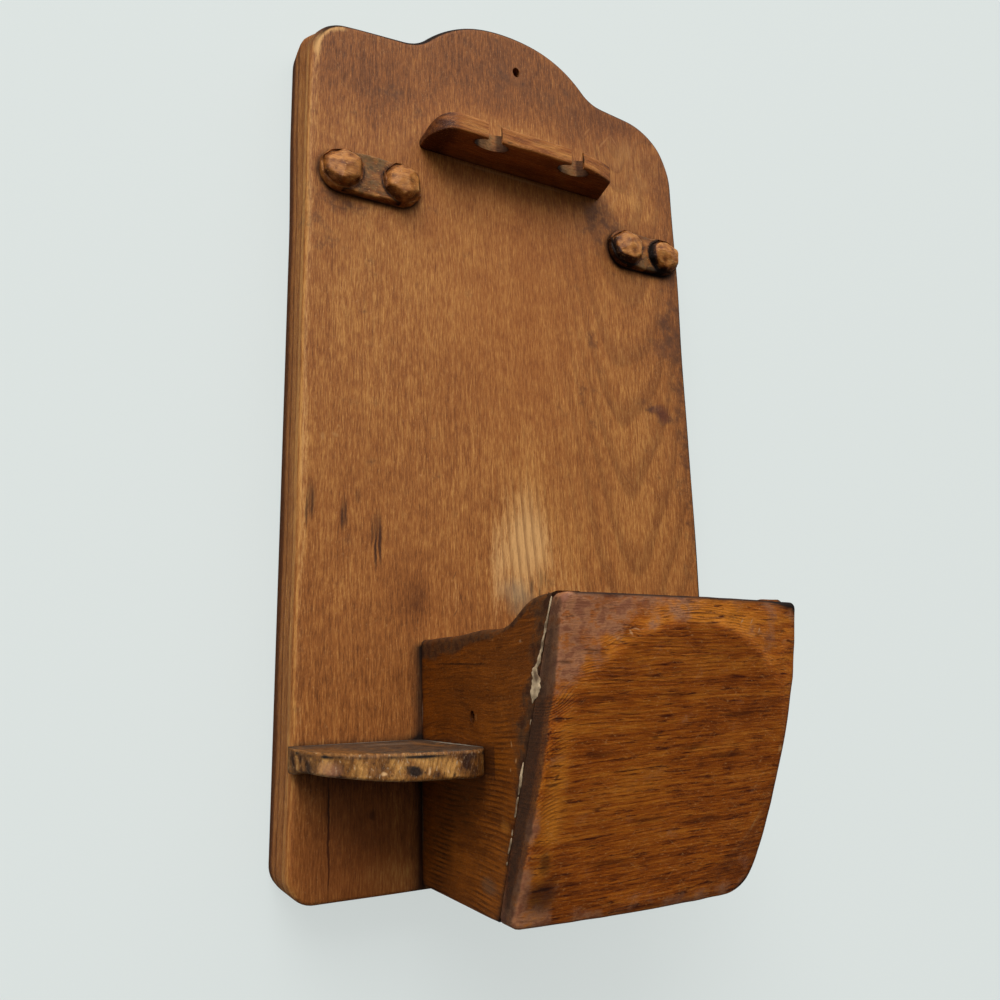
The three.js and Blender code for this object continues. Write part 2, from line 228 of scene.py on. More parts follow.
def put_down(name: str, shells: list[np.ndarray], sharp: float = 38) -> bpy.types.Object:
    """Make one piece of closed shells.

    Args:
        name: the piece's name.
        shells: each (rows, around, 3) in drawing millimetres.
        sharp: edges that turn more than this many degrees stay sharp.
    Returns:
        The object, at the origin, with its place in its mesh.
    """
    faces, points, first = [], [], 0
    for shell in shells:
        faces += shell_faces(shell.shape[0], shell.shape[1], first)
        points.append(shell.reshape(-1, 3))
        first += len(points[-1])
    mesh = bpy.data.meshes.new(name)
    mesh.from_pydata(((np.concatenate(points) + DRAWN_FROM) * MM).tolist(), [], faces)
    tidy = bmesh.new()
    tidy.from_mesh(mesh)
    bmesh.ops.recalc_face_normals(tidy, faces=tidy.faces)
    tidy.to_mesh(mesh)
    tidy.free()
    piece = bpy.data.objects.new(name, mesh)
    bpy.context.scene.collection.objects.link(piece)
    soften(piece, sharp)
    return piece


def soften(piece: bpy.types.Object, sharp: float) -> None:
    """Shade smooth, apart from edges that turn more than sharp degrees."""
    mesh = piece.data
    mesh.polygons.foreach_set("use_smooth", np.ones(len(mesh.polygons), dtype=bool))
    mesh.set_sharp_from_angle(angle=math.radians(sharp))
    mesh.update()


def places(piece: bpy.types.Object) -> np.ndarray:
    """The points of a piece's mesh, (n, 3), in drawing millimetres."""
    flat = np.empty(len(piece.data.vertices) * 3)
    piece.data.vertices.foreach_get("co", flat)
    return flat.reshape(-1, 3) / MM - DRAWN_FROM


def rod(start: tuple[float, float, float], end: tuple[float, float, float], wide: float,
        tall: float) -> np.ndarray:
    """An oval rod between two points: start or end + wide cos t * side + tall sin t * up.

    Args:
        start: middle of one end.
        end: middle of the other.
        wide: half the width, across the rod and level.
        tall: half the height.
    Returns:
        (2, 24, 3).
    """
    ends = np.array([start, end])
    line = (ends[1] - ends[0]) / np.linalg.norm(ends[1] - ends[0])
    side = np.cross(line, [0, 0, 1.0])
    side /= np.linalg.norm(side)
    t = np.linspace(0, TAU, 24, endpoint=False)[:, None]
    ring = wide * np.cos(t) * side + tall * np.sin(t) * np.cross(side, line)
    return ends[:, None] + ring


def carve(piece: bpy.types.Object, shells: list[np.ndarray], sharp: float) -> None:
    """Cut closed shells out of a piece with a Boolean that is applied.

    Args:
        piece: what is cut.
        shells: the cutting shapes, each (rows, around, 3) in drawing millimetres.
        sharp: edges that turn more than this many degrees stay sharp.
    """
    tool = put_down(piece.name + "_cut", shells)
    cut = piece.modifiers.new("cut", "BOOLEAN")
    cut.operation, cut.solver, cut.object = "DIFFERENCE", "EXACT", tool
    whole = bpy.context.evaluated_depsgraph_get()
    mesh = bpy.data.meshes.new_from_object(piece.evaluated_get(whole))
    piece.modifiers.clear()
    old, tool_mesh = piece.data, tool.data
    piece.data, mesh.name = mesh, old.name
    bpy.data.objects.remove(tool)
    for spent in (old, tool_mesh):
        bpy.data.meshes.remove(spent)
    soften(piece, sharp)


def stadium(x: np.ndarray, z: np.ndarray, block: tuple[float, float, float, float]) -> np.ndarray:
    """Distance to a flat shape with round ends: to its middle line, less its radius.

    Args:
        x: places across.
        z: heights.
        block: middle, height, half the middle line's length, radius.
    Returns:
        The distance, below 0 inside.
    """
    middle, height, reach, radius = block
    return np.hypot(np.maximum(np.abs(x - middle) - reach, 0), z - height) - radius


def to_outline(x: np.ndarray, z: np.ndarray, outline: np.ndarray) -> np.ndarray:
    """Distance from places (x, z) to the nearest point of an outline."""
    return np.hypot(x[:, None] - outline[:, 0], z[:, None] - outline[:, 1]).min(axis=1)


# --------------------------------------------------------------------------------- finishes

class Face(Enum):
    """Which way a mark's own turn axis points: out of the face that it lies on."""
    BOARD = 1
    SIDE = 0
    LEVEL = 2


@dataclass(frozen=True)
class Mark:
    """A small stain, scratch, dent or fleck: a soft ellipsoid of colour at one place."""
    at: tuple[float, float, float]
    reach: tuple[float, float, float]
    colour: str
    strength: float
    turn: float
    soft: float
    face: Face


def marks(colour: str, *rows: tuple[float, ...], soft: float = 0.7,
          face: Face = Face.BOARD) -> list[Mark]:
    """Marks of one colour.

    Args:
        colour: their colour.
        rows: each one's place, its three reaches, its strength and, if it is turned, its turn.
        soft: which share of the reach fades.
        face: where they lie.
    Returns:
        The marks in this order.
    """
    return [Mark(row[:3], row[3:6], colour, row[6], row[7] if len(row) > 7 else 0.0, soft, face)
            for row in rows]


def laid(points: np.ndarray, depth: tuple[float, float], rows: tuple[tuple, ...]) -> np.ndarray:
    """Wide soft changes: the sum of tone * exp(-r^2), r being the distance in a patch's own
    reaches, turned in (x, z).

    Args:
        points: (n, 3) places.
        depth: the y of every patch, and its reach in y.
        rows: each patch's x, z, its two reaches, its tone and, if it is turned, its turn.
    Returns:
        The sum at each place.
    """
    total = np.zeros(len(points))
    for x, z, reach_x, reach_z, tone, *turn in rows:
        c, s = (f(math.radians(turn[0] if turn else 0)) for f in (math.cos, math.sin))
        east, north = points[:, 0] - x, points[:, 2] - z
        total += tone * bell(east * c + north * s, 0, reach_x) * bell(
            north * c - east * s, 0, reach_z) * bell(points[:, 1], *depth)
    return total


def add(tree: bpy.types.NodeTree, kind: str, inputs: dict | None = None,
        **settings: object) -> bpy.types.Node:
    """Add one node.

    Args:
        tree: the node tree.
        kind: the node's type name, without "ShaderNode".
        inputs: by socket name or number, a value, a socket to link from, or a node whose first
            output is linked.
        settings: attributes of the node.
    Returns:
        The node.
    """
    made = tree.nodes.new("ShaderNode" + kind)
    for name, value in settings.items():
        setattr(made, name, value)
    for name, value in (inputs or {}).items():
        if isinstance(value, bpy.types.Node):
            value = value.outputs[0]
        if isinstance(value, bpy.types.NodeSocket):
            tree.links.new(value, made.inputs[name])
        else:
            made.inputs[name].default_value = value
    return made


def cleared(owner: bpy.types.Material | bpy.types.World) -> bpy.types.NodeTree:
    """The emptied node tree of a new material or world."""
    owner.use_nodes = True
    owner.node_tree.nodes.clear()
    return owner.node_tree


@dataclass(frozen=True)
class OldPine:
    """Slow-grown pine, planed by hand, stained and varnished long ago, and handled since.

    Pine gives the eye pale early wood between thin darker late wood lines. The stain soaks into
    the early wood and evens them out, and the thin varnish leaves a satin skin that has worn off
    on the arrises and gathered dirt in the corners. The same layers also carry painted shade in
    corners, joints and undersides, painted highlights on edges and faces that catch the light, and
    a painted sheen where faces turn up.
    """
    name: str
    base: str
    dark: str
    pale: str
    bare: str
    grime: str
    bloom: str
    stain: str
    ring_gap: float
    ring_depth: float
    streak: float
    fibre: float
    dash: float
    glints: float
    scratch: float
    ior: float
    roughness: float
    bump: float
    short: float = 0.16
    patchy: float = 1.0
    marks: tuple[Mark, ...] = ()

    def material(self) -> bpy.types.Material:
        """Build the node tree.

        Returns:
            The material. Its patterns read the attributes that dress() writes on the mesh,
            and its marks read Object coordinates.
        """
        material = bpy.data.materials.new(self.name)
        tree = cleared(material)
        base, dark, pale, bare = map(linear, (self.base, self.dark, self.pale, self.bare))
        grain, rings, tone, grime, wear, haze, figure = (
            add(tree, "Attribute", attribute_name=name).outputs[socket]
            for name, socket in zip(("grain", "rings", "tone", "grime", "wear", "bloom", "figure"),
                                    ["Vector"] + ["Fac"] * 6))

        # Noises stretched along the wood: cells in a millimetre across, through and along it, how
        # many finer layers, and how strong these are.
        noises = []
        for cells, detail, rough in (
                # fibres, 0.45 mm wide and some 3 to 6 mm long; real ones are ten times finer,
                # and this is as fine as the render shows
                ((2.2, 2.2, self.short), 4.0, 0.75),
                # streaks of uneven stain, about 2 mm by 50 mm
                ((0.5, 0.5, 0.02), 2.0, 0.55),
                # cloudy patches, about 20 mm
                ((0.06, 0.06, 0.035), 4.0, 0.65),
                # speckle of the pores and of old dirt in the varnish, and of painted glints, 0.5 mm
                ((1.9, 1.9, 0.9), 2.0, 0.6),
                # dashes where the stain has soaked deeper into a bundle of fibres, 0.7 by 9 mm
                ((1.25, 1.25, 0.13), 4.0, 0.65),
                # mottling of the varnish, about 7 mm, the same in every direction
                ((0.14, 0.14, 0.14), 4.0, 0.6),
                # blots in the bloom, 3 mm
                ((0.33, 0.33, 0.3), 3.0, 0.6),
                # two sets of scratches that cross the wood, 0.3 mm by 8 mm
                ((3.1, 3.1, 0.13, 0.65), 1.0, 0.5),
                ((3.1, 3.1, 0.13, -0.95), 1.0, 0.5)):
            way = grain if len(cells) == 3 else add(
                tree, "VectorRotate", {"Vector": grain, "Angle": cells[3]}, rotation_type="Y_AXIS")
            way = add(tree, "VectorMath", {0: way, 1: cells[:3]}, operation="MULTIPLY")
            noises.append(add(tree, "TexNoise", {"Vector": way, "Scale": 1.0, "Detail": detail,
                                                 "Roughness": rough}).outputs[0])
        fine, broad, cloud, speck, bundle, mottle, blots, scratch_a, scratch_b = noises

        # Patterns added up, each part with its weight.
        sums = []
        for total, *parts in (
                (rings, (bundle, 0.5)),
                (tone, (broad, self.streak), (cloud, 0.8 * self.patchy),
                 (mottle, 0.5 * self.patchy), (fine, self.fibre)),
                (wear, (speck, 0.5), (fine, 1.1), (broad, 0.6)),
                (haze, (mottle, 1.9), (speck, 0.35)),
                (grime, (cloud, 0.5))):
            for part, weight in parts:
                total = add(tree, "Math", {0: part, 1: weight, 2: total}, operation="MULTIPLY_ADD")
            sums.append(total)
        from_pith, lean, rubbed_and_lit, milky_and_sheen, darkened = sums
        years = add(tree, "Math", {0: from_pith, 1: self.ring_gap}, operation="DIVIDE")
        year = add(tree, "Math", {0: years}, operation="FRACT")

        # Soft steps: a value, where the step begins and ends, and what it goes from and to.
        steps = []
        for value, low, high, foot, top in (
                # late wood, a thin dark line where the yearly growth ends: a saw tooth with a
                # soft rise and a quick fall, worked out from the distance to the pith
                (year, 0.35, 0.86, 0.0, self.ring_depth), (year, 0.9, 1.0, 1.0, 0.0),
                # wear, rubbed through to bare wood fibre by fibre, with painted highlights laid the
                # same way, and dirt with painted shade, cloudy at its edge
                (rubbed_and_lit, 1.3, 2.05, 0.0, 1.0), (darkened, 0.28, 1.1, 0.0, 1.0),
                # dashes, dark dots, pale dots as painted glints, and both sets of scratches
                (bundle, 0.52, 0.68, 0.0, self.dash), (speck, 0.6, 0.76, 0.0, self.glints),
                (speck, 0.4, 0.26, 0.0, self.glints), (scratch_a, 0.64, 0.78, 0.0, self.scratch),
                (scratch_b, 0.64, 0.78, 0.0, self.scratch),
                # bloom, old varnish gone milky and mauve, with painted sheen in the same layer,
                # darker in one set of blots and worn thin in another
                (milky_and_sheen, 1.3, 1.8, 0.0, 0.92), (blots, 0.46, 0.62, 0.0, 1.0),
                (blots, 0.36, 0.5, 0.3, 1.0)):
            steps.append(add(tree, "MapRange", {
                "Value": value, "From Min": low, "From Max": high, "To Min": foot, "To Max": top},
                interpolation_type="SMOOTHSTEP"))
        deep, fall, paling, dirt_and_shade, dashes, dots, glints, cut_a, cut_b, bloomed, stained, thin = steps
        for part in (fall, figure):
            deep = add(tree, "Math", {0: deep, 1: part}, operation="MULTIPLY", use_clamp=True)
        cover = add(tree, "Math", {0: bloomed, 1: thin}, operation="MULTIPLY", use_clamp=True)
        film = add(tree, "Mix", {0: stained, 6: linear(self.bloom), 7: linear(self.stain)},
                   data_type="RGBA").outputs[2]
        # Tone: the streaks, clouds, fibres and the mesh's own patches, some of which are painted
        # light and shade, move the colour between dark, base and pale. The middle is the sum of the
        # means of the noises.
        middle = 0.5 * (self.streak + 1.3 * self.patchy + self.fibre)
        paler, darker = (add(tree, "MapRange", {"Value": lean, "From Min": middle,
                                                "From Max": middle + way}) for way in (0.6, -0.6))

        # The colours, each laid over the ones before it.
        layers = [(paler, pale), (darker, dark), (paling, bare), (deep, dark), (dashes, dark),
                  (dots, dark), (glints, bare), (cut_a, bare), (cut_b, bare), (cover, film),
                  (dirt_and_shade, linear(self.grime))]
        # Single marks, their rims shaken a little by a 3 mm noise.
        where = add(tree, "TexCoord").outputs["Object"]
        shake = add(tree, "TexNoise", {"Vector": where, "Scale": 330.0, "Detail": 2.0})
        shift = add(tree, "VectorMath", {0: shake.outputs["Color"], 1: (0.9 * MM,) * 3,
                    2: (-0.45 * MM,) * 3}, operation="MULTIPLY_ADD")
        spot = add(tree, "VectorMath", {0: where, 1: shift}, operation="ADD")
        for mark in self.marks:
            turned = [0.0, 0.0, 0.0]
            turned[mark.face.value] = math.radians(mark.turn)
            own = add(tree, "Mapping", {
                "Vector": spot, "Location": tuple((np.array(mark.at) + DRAWN_FROM) * MM),
                "Rotation": tuple(turned), "Scale": tuple(np.array(mark.reach) * MM)},
                vector_type="TEXTURE")
            far = add(tree, "VectorMath", {0: own}, operation="LENGTH").outputs["Value"]
            spread = add(tree, "MapRange", {
                "Value": far, "From Min": 1.0, "From Max": 1.0 - mark.soft,
                "To Max": mark.strength}, interpolation_type="SMOOTHSTEP")
            layers.append((spread, linear(mark.colour)))
        colour = base
        for cover, over in layers:
            colour = add(tree, "Mix", {0: cover, 6: colour, 7: over}, data_type="RGBA").outputs[2]

        # Varnish: dull where the dirt and painted shade lie and where it is rubbed off or painted
        # with
        # highlights. Relief: the soft early wood has sunk between the late wood by 0.05 mm, fibres
        # by 0.03 mm.
        skins = []
        for total, *parts in ((self.roughness - 0.11, (speck, 0.22), (dirt_and_shade, 0.3), (paling, 0.2)),
                              (fine, (deep, 0.6), (speck, 0.8))):
            for part, weight in parts:
                total = add(tree, "Math", {0: part, 1: weight, 2: total}, operation="MULTIPLY_ADD")
            skins.append(total)
        gloss, height = skins
        gloss.use_clamp = True
        relief = add(tree, "Bump", {"Height": height, "Distance": 0.1 * MM * self.bump,
                                    "Strength": 0.8})
        skin = add(tree, "BsdfPrincipled", {"Base Color": colour, "IOR": self.ior,
                                            "Roughness": gloss, "Normal": relief})
        add(tree, "OutputMaterial", {0: skin})
        return material


def dress(piece: bpy.types.Object, finish: OldPine, **values: np.ndarray) -> None:
    """Write the wood's own coordinates on a piece and give it its finish.

    Args:
        piece: the piece.
        finish: its finish.
        values: for each point, grain (millimetres across, through and along the wood), rings
            (millimetres from the pith), tone (below 0 darker, above 0 paler, in places painted
            light and shade), grime with painted shade, wear to bare wood with painted highlights
            and milky bloom with painted sheen from 0 to 1, and figure (how strongly the rings show,
            or 1).
    """
    none = np.zeros(len(piece.data.vertices))
    for name in ("figure", "bloom", "grain", "rings", "tone", "grime", "wear"):
        numbers = values.get(name, none + (name == "figure"))
        if name in ("bloom", "grime", "wear"):
            numbers = np.clip(numbers, 0, 1)
        kind, key = ("FLOAT_VECTOR", "vector") if numbers.ndim == 2 else ("FLOAT", "value")
        layer = piece.data.attributes.new(name, kind, "POINT")
        layer.data.foreach_set(key, np.ascontiguousarray(numbers, dtype=np.float32).ravel())
    piece.data.materials.clear()
    piece.data.materials.append(finish.material())


def stand_in(piece: bpy.types.Object, node: str) -> None:
    """Let a piece take the place of a CAD node, and report it."""
    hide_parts(node)
    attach(piece, "root")
    log.info("%s: %d faces for %s", piece.name, len(piece.data.polygons), node)


# --------------------------------------------------------------------------------- the board

# x, z, reaches, tone and turn of wide patches: darker and paler wood, rubbed places, milky ones
# In BOARD_TONES the dark band at x -54, z 33 right under the left shelf is painted shade, the
# darker foot below it is partly painted shade, and the small lift at x -71, z 18 is painted light.
BOARD_TONES = (
    (2, 104, 12, 22, .3), (6, 125, 14, 26, .15), (-50, 175, 30, 50, .12), (-10, 195, 40, 25, .12),
    (0, 285, 80, 28, -.3), (-55, 262, 24, 16, -.2), (52, 140, 26, 50, .15), (74, 200, 9, 90, -.22),
    (54, 266, 13, 9, .25), (-56, 14, 40, 22, -.25), (-54, 33, 20, 4, -.45), (-46, 6, 9, 5, .35),
    (-71, 18, 5, 16, .1), (4, 257, 34, 8, .35), (47, 256, 12, 12, .15), (45, 278, 10, 6, -.3),
    (57, 244, 12, 8, .25), (-38, 84, 5, 7, -.35), (-56, 66, 30, 22, -.15), (20, 95, 10, 18, .12))
EDGE_TONES = ((-76, 150, 3, 200, -.1),)
BOARD_WEAR = (
    (0, 101, 9.5, 16, .9), (5, 108, 6, 9, .35), (-9.5, 92, 2.6, 15, .45), (2, 122, 9, 7, .2),
    (28, 86, 14, 6, .35), (14, 95, 6, 12, .2), (-25, 84, 6, 9, .25), (-62, 130, 10, 12, .12),
    (-30, 175, 40, 60, .08))
BOARD_BLOOM = (
    (-44, 258, 17, 8, .3), (10, 279, 26, 10, .35), (-4, 291, 14, 5, .3), (-65, 213, 10, 4, .5),
    (-74, 205, 4, 8, .4), (60, 157, 10, 5, .5, -25), (67, 190, 7, 11, .5), (75, 160, 7, 70, .55),
    (38, 233, 10, 11, .6), (-62, 200, 12, 9, .2), (30, 165, 8, 30, .25))
# depth into the board in millimetres, and the tone of the band there
EDGE_BANDS = ((0.2, 0.7, 1.3, 2.0, 4.4, 5.2, 6.2, 10.6, 11.8, 13.0, 15.0, 17.3, 18.5, 20.5, 22.0),
              (0.1, 0.6, 0.0, 0.4, 0.5, -0.1, 0.15, 0.2, -0.4, 0.1, 0.1, -0.5, -0.9, -0.9, -0.3))

BOARD_PINE = OldPine(
    "old_varnished_pine_board", base="#9b5d29", dark="#5f3211", pale="#cc904b", bare="#d8a468",
    grime="#1c0e07", bloom="#6b4022", stain="#57331c", short=0.24, patchy=0.8, ring_gap=1.9,
    ring_depth=0.22, streak=0.42, fibre=2.3, dash=0.3, glints=0.22, scratch=0.08, ior=1.3,
    roughness=0.56, bump=2.0, marks=(
        # dark streaks low on the left
        *marks("#3a1c0c", (-51, 0, 106, 2.2, 3, 7, .45), (-50.2, 0, 101, .7, 3, 9.5, .9),
               (-51.6, 0, 99, .6, 3, 8.5, .9), (-52.9, 0, 104, .5, 3, 6, .7),
               (-62, 0, 109, 1.5, 3, 6.5, .55), (-62.4, 0, 108, .6, 3, 4.5, .7),
               (-61.2, 0, 110, .5, 3, 5.5, .6), (-72, 0, 113, 2, 3, 8, .5),
               (-71.6, 0, 112, .6, 3, 6, .6), (-73.3, 0, 109, .5, 3, 7, .7),
               (-57.5, 0, 115, 1.2, 3, 3, .35)),
        # the crack below the shelf
        *marks("#120805", (-64.7, 0, 17, .4, 5, 18.5, .97, -.8), soft=.4),
        # grey foot and fibres of the rubbed patch, and a knot
        *marks("#8b785a", (0, 0, 83, 9, 3, 6, .4)),
        *marks("#4a321c", (3, 0, 89, .6, 3, 3.5, .6), (6, 0, 87, .5, 3, 3, .6)),
        *marks("#5a3a1e", (8.5, 0, 92, .4, 3, 4, .6)),
        *marks("#2b1408", (-52, 0, 22, 1.3, 3, 2, .8)),
        # flecks and scratches
        *marks("#b5834c", (-65, 0, 134, 1.6, 3, .9, .5, 20), (-69, 0, 133, 1, 3, 1.6, .45),
               (-64, 0, 137, .7, 3, .7, .5)),
        *marks("#bd8a55", (-42, 0, 204, .5, 3, 1.1, .6, 15), (-29, 0, 206, .5, 3, 1, .6, -20),
               (-22, 0, 198, .4, 3, 1.2, .5, 10)),
        *marks("#4a2712", (-25, 0, 92, .25, 3, 2.2, .6, 25), (-23, 0, 85, .3, 3, 3, .6, -15),
               (-25, 0, 80, .3, 3, 2, .5, 30)),
        # stains near the right edge
        *marks("#6b4028", (65, 0, 184, 9, 3, 5.5, .3, -12)),
        *marks("#4a2a20", (66, 0, 197, 4, 3, 2, .4, 30)),
        *marks("#56261a", (63.7, 0, 157, 4.6, 3, 5, .65, 20)),
        *marks("#54302a", (60, 0, 159, 5, 3, 2, .5, -24)),
        *marks("#6b3a1a", (56.8, 0, 140, .8, 3, 17.5, .3, 23), (45.5, 0, 129, .7, 3, 7.5, .4, -40),
               soft=.9),
        # warm washes
        *marks("#7c3c0e", (-56, 0, 10, 30, 4, 34, .45), soft=1),
        *marks("#8a4a18", (-74, 6, 12, 9, 14, 20, .3), soft=1),
        *marks("#a55a1c", (0, 0, 190, 70, 4, 90, .22), soft=1),
        *marks("#a39474", (-3, 0, 88, 9, 3, 6, .4), soft=1),
        *marks("#5a3c20", (7, 0, 92, 1.2, 3, 5, .5), (3.5, 0, 90, .8, 3, 4, .45), soft=.8),
        *marks("#7c4420", (50, 0, 262, 30, 4, 26, .35), soft=1),
        # light under the rail, and the swirl round the hidden knot
        *marks("#b07f52", (0, 0, 240.2, 37, 2, .7, .55), soft=.8),
        *marks("#b37c48", (42.5, 0, 268.2, .6, 3, 6.5, .5, 38),
               (34.4, 0, 270.1, .6, 3, 3.5, .45, 35),
               (47.5, 0, 270, .5, 3, 3.5, .4, -40), (54.9, 0, 265, .9, 3, 4, .4),
               (56.6, 0, 249.6, .6, 3, 4.5, .4, -35), (46.1, 0, 242.9, .6, 3, 3.5, .35, 40)),
        *marks("#5a2c12", (69.6, 0, 262, .5, 3, 8.5, .5)),
        *marks("#a8743f", (51.5, 0, 266, 4.5, 3, 10, .35, 25), (60, 0, 254, 6.5, 3, 5, .3, 30))))


@dataclass
class Backboard:
    """The upright board with its scrolled top, one plank of flat-sawn pine."""
    half: float = 76.0
    height: float = 301.0
    thickness: float = 22.0
    arris: float = 1.3
    foot_radius: float = 8.0
    arch_radius: float = 47.0
    hollow_radius: float = 14.0
    shoulder_drop: float = 21.6
    slope: float = 0.1
    left_radius: float = 13.0
    right_radius: float = 24.0
    hole: tuple[float, float] = (3.1, 286.0)
    hole_half: tuple[float, float] = (1.5, 2.1)
    heart_x: float = 48.0
    knot: tuple[float, float] = (54.0, 266.0)

    def half_scroll(self, radius: float) -> tuple[np.ndarray, np.ndarray, float]:
        """One half of the scroll, on the right of the middle line.

        The shoulder falls as z = crown - slope x. A hollow circle touches it from above and the
        arch from outside: its centre is arch radius + hollow radius from the arch's centre, and
        hollow radius * sqrt(1 + slope^2) above the shoulder line.

        Args:
            radius: the shoulder's corner radius.
        Returns:
            The corner's arc, the hollow's arc, and the angle at which the arch ends.
        """
        tilt = math.hypot(1, self.slope)
        middle = self.height - self.arch_radius
        crown = self.height - self.shoulder_drop + self.slope * self.half
        reach = self.arch_radius + self.hollow_radius
        rise = crown + self.hollow_radius * tilt - middle
        x = (rise * self.slope + math.sqrt((tilt * reach) ** 2 - rise ** 2)) / tilt ** 2
        z = middle + rise - self.slope * x
        line = math.degrees(math.atan2(1, self.slope))
        arch = math.degrees(math.atan2(z - middle, x))
        corner_x = self.half - radius
        corner_z = crown - self.slope * corner_x - radius * tilt
        corner = arc(corner_x, corner_z, radius, 0, line)
        return corner, arc(x, z, self.hollow_radius, line - 180, arch - 180), arch

    def outline(self) -> np.ndarray:
        """The outline in (x, z), counterclockwise from the foot, marked off every 1.2 mm."""
        foot, half = self.foot_radius, self.half
        right, right_hollow, right_end = self.half_scroll(self.right_radius)
        left, left_hollow, left_end = self.half_scroll(self.left_radius)
        return even(np.concatenate([
            arc(half - foot, foot, foot, -90, 0), right, right_hollow,
            arc(0, self.height - self.arch_radius, self.arch_radius, right_end, 180 - left_end, 90),
            (left_hollow * [-1, 1])[::-1], (left * [-1, 1])[::-1],
            arc(foot - half, foot, foot, 180, 270)]), 1.2)

    @staticmethod
    def fuller(z: np.ndarray) -> np.ndarray:
        """How much too high the scroll was sawn."""
        return 0.9 * ease(z, 250, 268)

    @staticmethod
    def swell(points: np.ndarray) -> np.ndarray:
        """How far the hand-planed front sinks: a sixth of a millimetre."""
        return 0.16 * sways(points, 70, 5)

    def build(self) -> None:
        """Make the board's mesh, with its worn arrises and its nail hole, and dress it."""
        outline = self.outline()
        a, b = outline.T
        arris = self.arris * (1 + 0.3 * sways(np.insert(outline, 2, 0, axis=1), 40, 3))
        arris += 1.4 * bell(a, -75, 9) * bell(b, 278, 10)
        arris += 1.0 * ease(b, 255, 268) + 0.6 * ease(a, 70, 75)
        arris += 1.2 * ease(-a, 70, 75) * (0.5 + 0.5 * ease(b, 90, 30))
        slab = Slab(outline, ((0, 62), (0, 240)), 0, self.thickness, arris, 0.8, 46, 26, 12)
        rows = slab.rows()[..., [0, 2, 1]]
        x, y, z = axes(rows)
        # The left shoulder is rubbed down in front only. Behind, its corner is still squarer: the
        # circle cos, sin there becomes (cos^5 + sin^5)^(-1/5) times as wide.
        east = x + self.half - self.left_radius
        north = z - (self.height - self.shoulder_drop - self.left_radius + 1.2)
        turn = np.arctan2(np.maximum(north, 0), np.maximum(-east, 1e-6))
        wider = (np.cos(turn) ** 5 + np.sin(turn) ** 5) ** (-1 / 5) - 1
        wider *= (east < 0) * (north > 0) * ease(y, 2.0, 13.0)
        left = east < 0
        x += wider * east
        z += wider * north
        # The scroll was sawn a little full, and so was the left edge behind the shoulder.
        z += self.fuller(z)
        x -= 0.7 * ease(y, 4, 12) * ease(z, 205, 250) * left
        # Planed by hand: the front swells and sinks by a fifth of a millimetre, and the edges
        # wander by as much.
        hold = ease(y, self.thickness, self.thickness - 6)
        y += self.swell(rows) * ease(y, 8, 0)
        x += 0.18 * sways(rows, 55, 6) * hold
        z += 0.15 * sways(rows, 60, 7) * hold * ease(z, 2, 30)
        piece = put_down("scrolled_board", [rows])
        at_x, at_z = self.hole
        carve(piece, [rod((at_x, -3, at_z), (at_x, self.thickness + 3, at_z), *self.hole_half)], 38)
        self.paint(piece)
        stand_in(piece, "backboard")

    def paint(self, piece: bpy.types.Object) -> None:
        """Dress the board.

        The pith lies in front of the heart's x and comes nearer upwards, so the rings
        r = sqrt((x - heart)^2 + (60 - 0.075 (z - 124))^2) run straight on the left and close in a
        point on the right.
        """
        p = places(piece)
        x, y, z = p.T
        in_front = y < 1
        depth = 60 - 0.075 * (z - 124) + y
        across = x - self.heart_x + 0.9 * sways(p * [1, 1, 0.25], 34, 11)
        rings = np.hypot(across, depth) + 0.36 + 0.5 * sways(p * [1, 1, 0.3], 22, 12)
        figure = 0.45 + 1.1 * ease(x, 12, 34) + 1.8 * bell(x, 1, 10) * ease(z, 135, 118)
        # the swirl of a hidden knot near the right shoulder: the rings are pushed round it
        knot_x, knot_z = self.knot
        knot = bell(x, knot_x, 14) * bell(z, knot_z, 12)
        rings += 4.5 * knot * np.sin((x - knot_x) / 6)
        grain = np.stack([x, y, z + 5 * knot * (x - knot_x) / 6], axis=1)
        tone = laid(p, (0, 9), BOARD_TONES) + laid(p, (12, 12), EDGE_TONES)
        # dirt and painted shade beside the box and the shelves, round the knob blocks and under the
        # rail
        by_box = near(np.minimum(np.abs(x - BOX_LEFT), np.abs(x - BOX_RIGHT)), 2.2)
        by_shelf = near(np.abs(z - SHELF_MIDDLE) - SHELF_THICK / 2, 1.3) * ((x < -36) | (x > 37))
        under_rail = np.maximum(np.abs(x) - 36.5, 0) + np.maximum(np.abs(z - 244.5) - 3.2, 0)
        grime = 0.95 * by_box * ease(z, BOX_TOP - 0.2, BOX_TOP - 2.2) + 0.55 * by_shelf
        grime += 0.8 * near(stadium(x, z, LEFT_BLOCK), 1.3)
        grime += 0.9 * near(stadium(x, z, RIGHT_BLOCK), 1.4)
        grime = (grime + 0.18 * near(under_rail, 1.2)) * in_front
        # darker on both side edges towards the back
        grime += 0.35 * ease(y, 16, 21.5) * ease(np.abs(x), 74.6, 75.9)
        # the left arris: wear, with a painted highlight along it
        wear = 0.4 * bell(y, 0.25, 0.4) * ease(-x, 72.0, 73.5) * ease(z, 20, 60)
        # the light rub on the left shoulder, on a circle inside its outline
        paling = bell(np.hypot(x + 63, z - 268.5), 10.6, 1.2)
        wear += 0.8 * paling * ease(z, 264, 270) * ease(-x, 61, 66) * (y < 2.5)
        # darker on the rim of the scroll and of the right edge, and along the foot
        rim = np.maximum(ease(z, 262, 275), ease(x, 73, 75.5)) * (1 - 0.45 * ease(-x, 68, 74))
        rim *= (1 - 0.6 * ease(y, 2.5, 5)) * ease(y, self.thickness - 0.2, self.thickness - 2)
        grime += 0.9 * rim * ease(y - self.swell(p), 0.05, 0.35)
        grime += 0.35 * ease(z, 5, 1.5) * (y > 0.4)
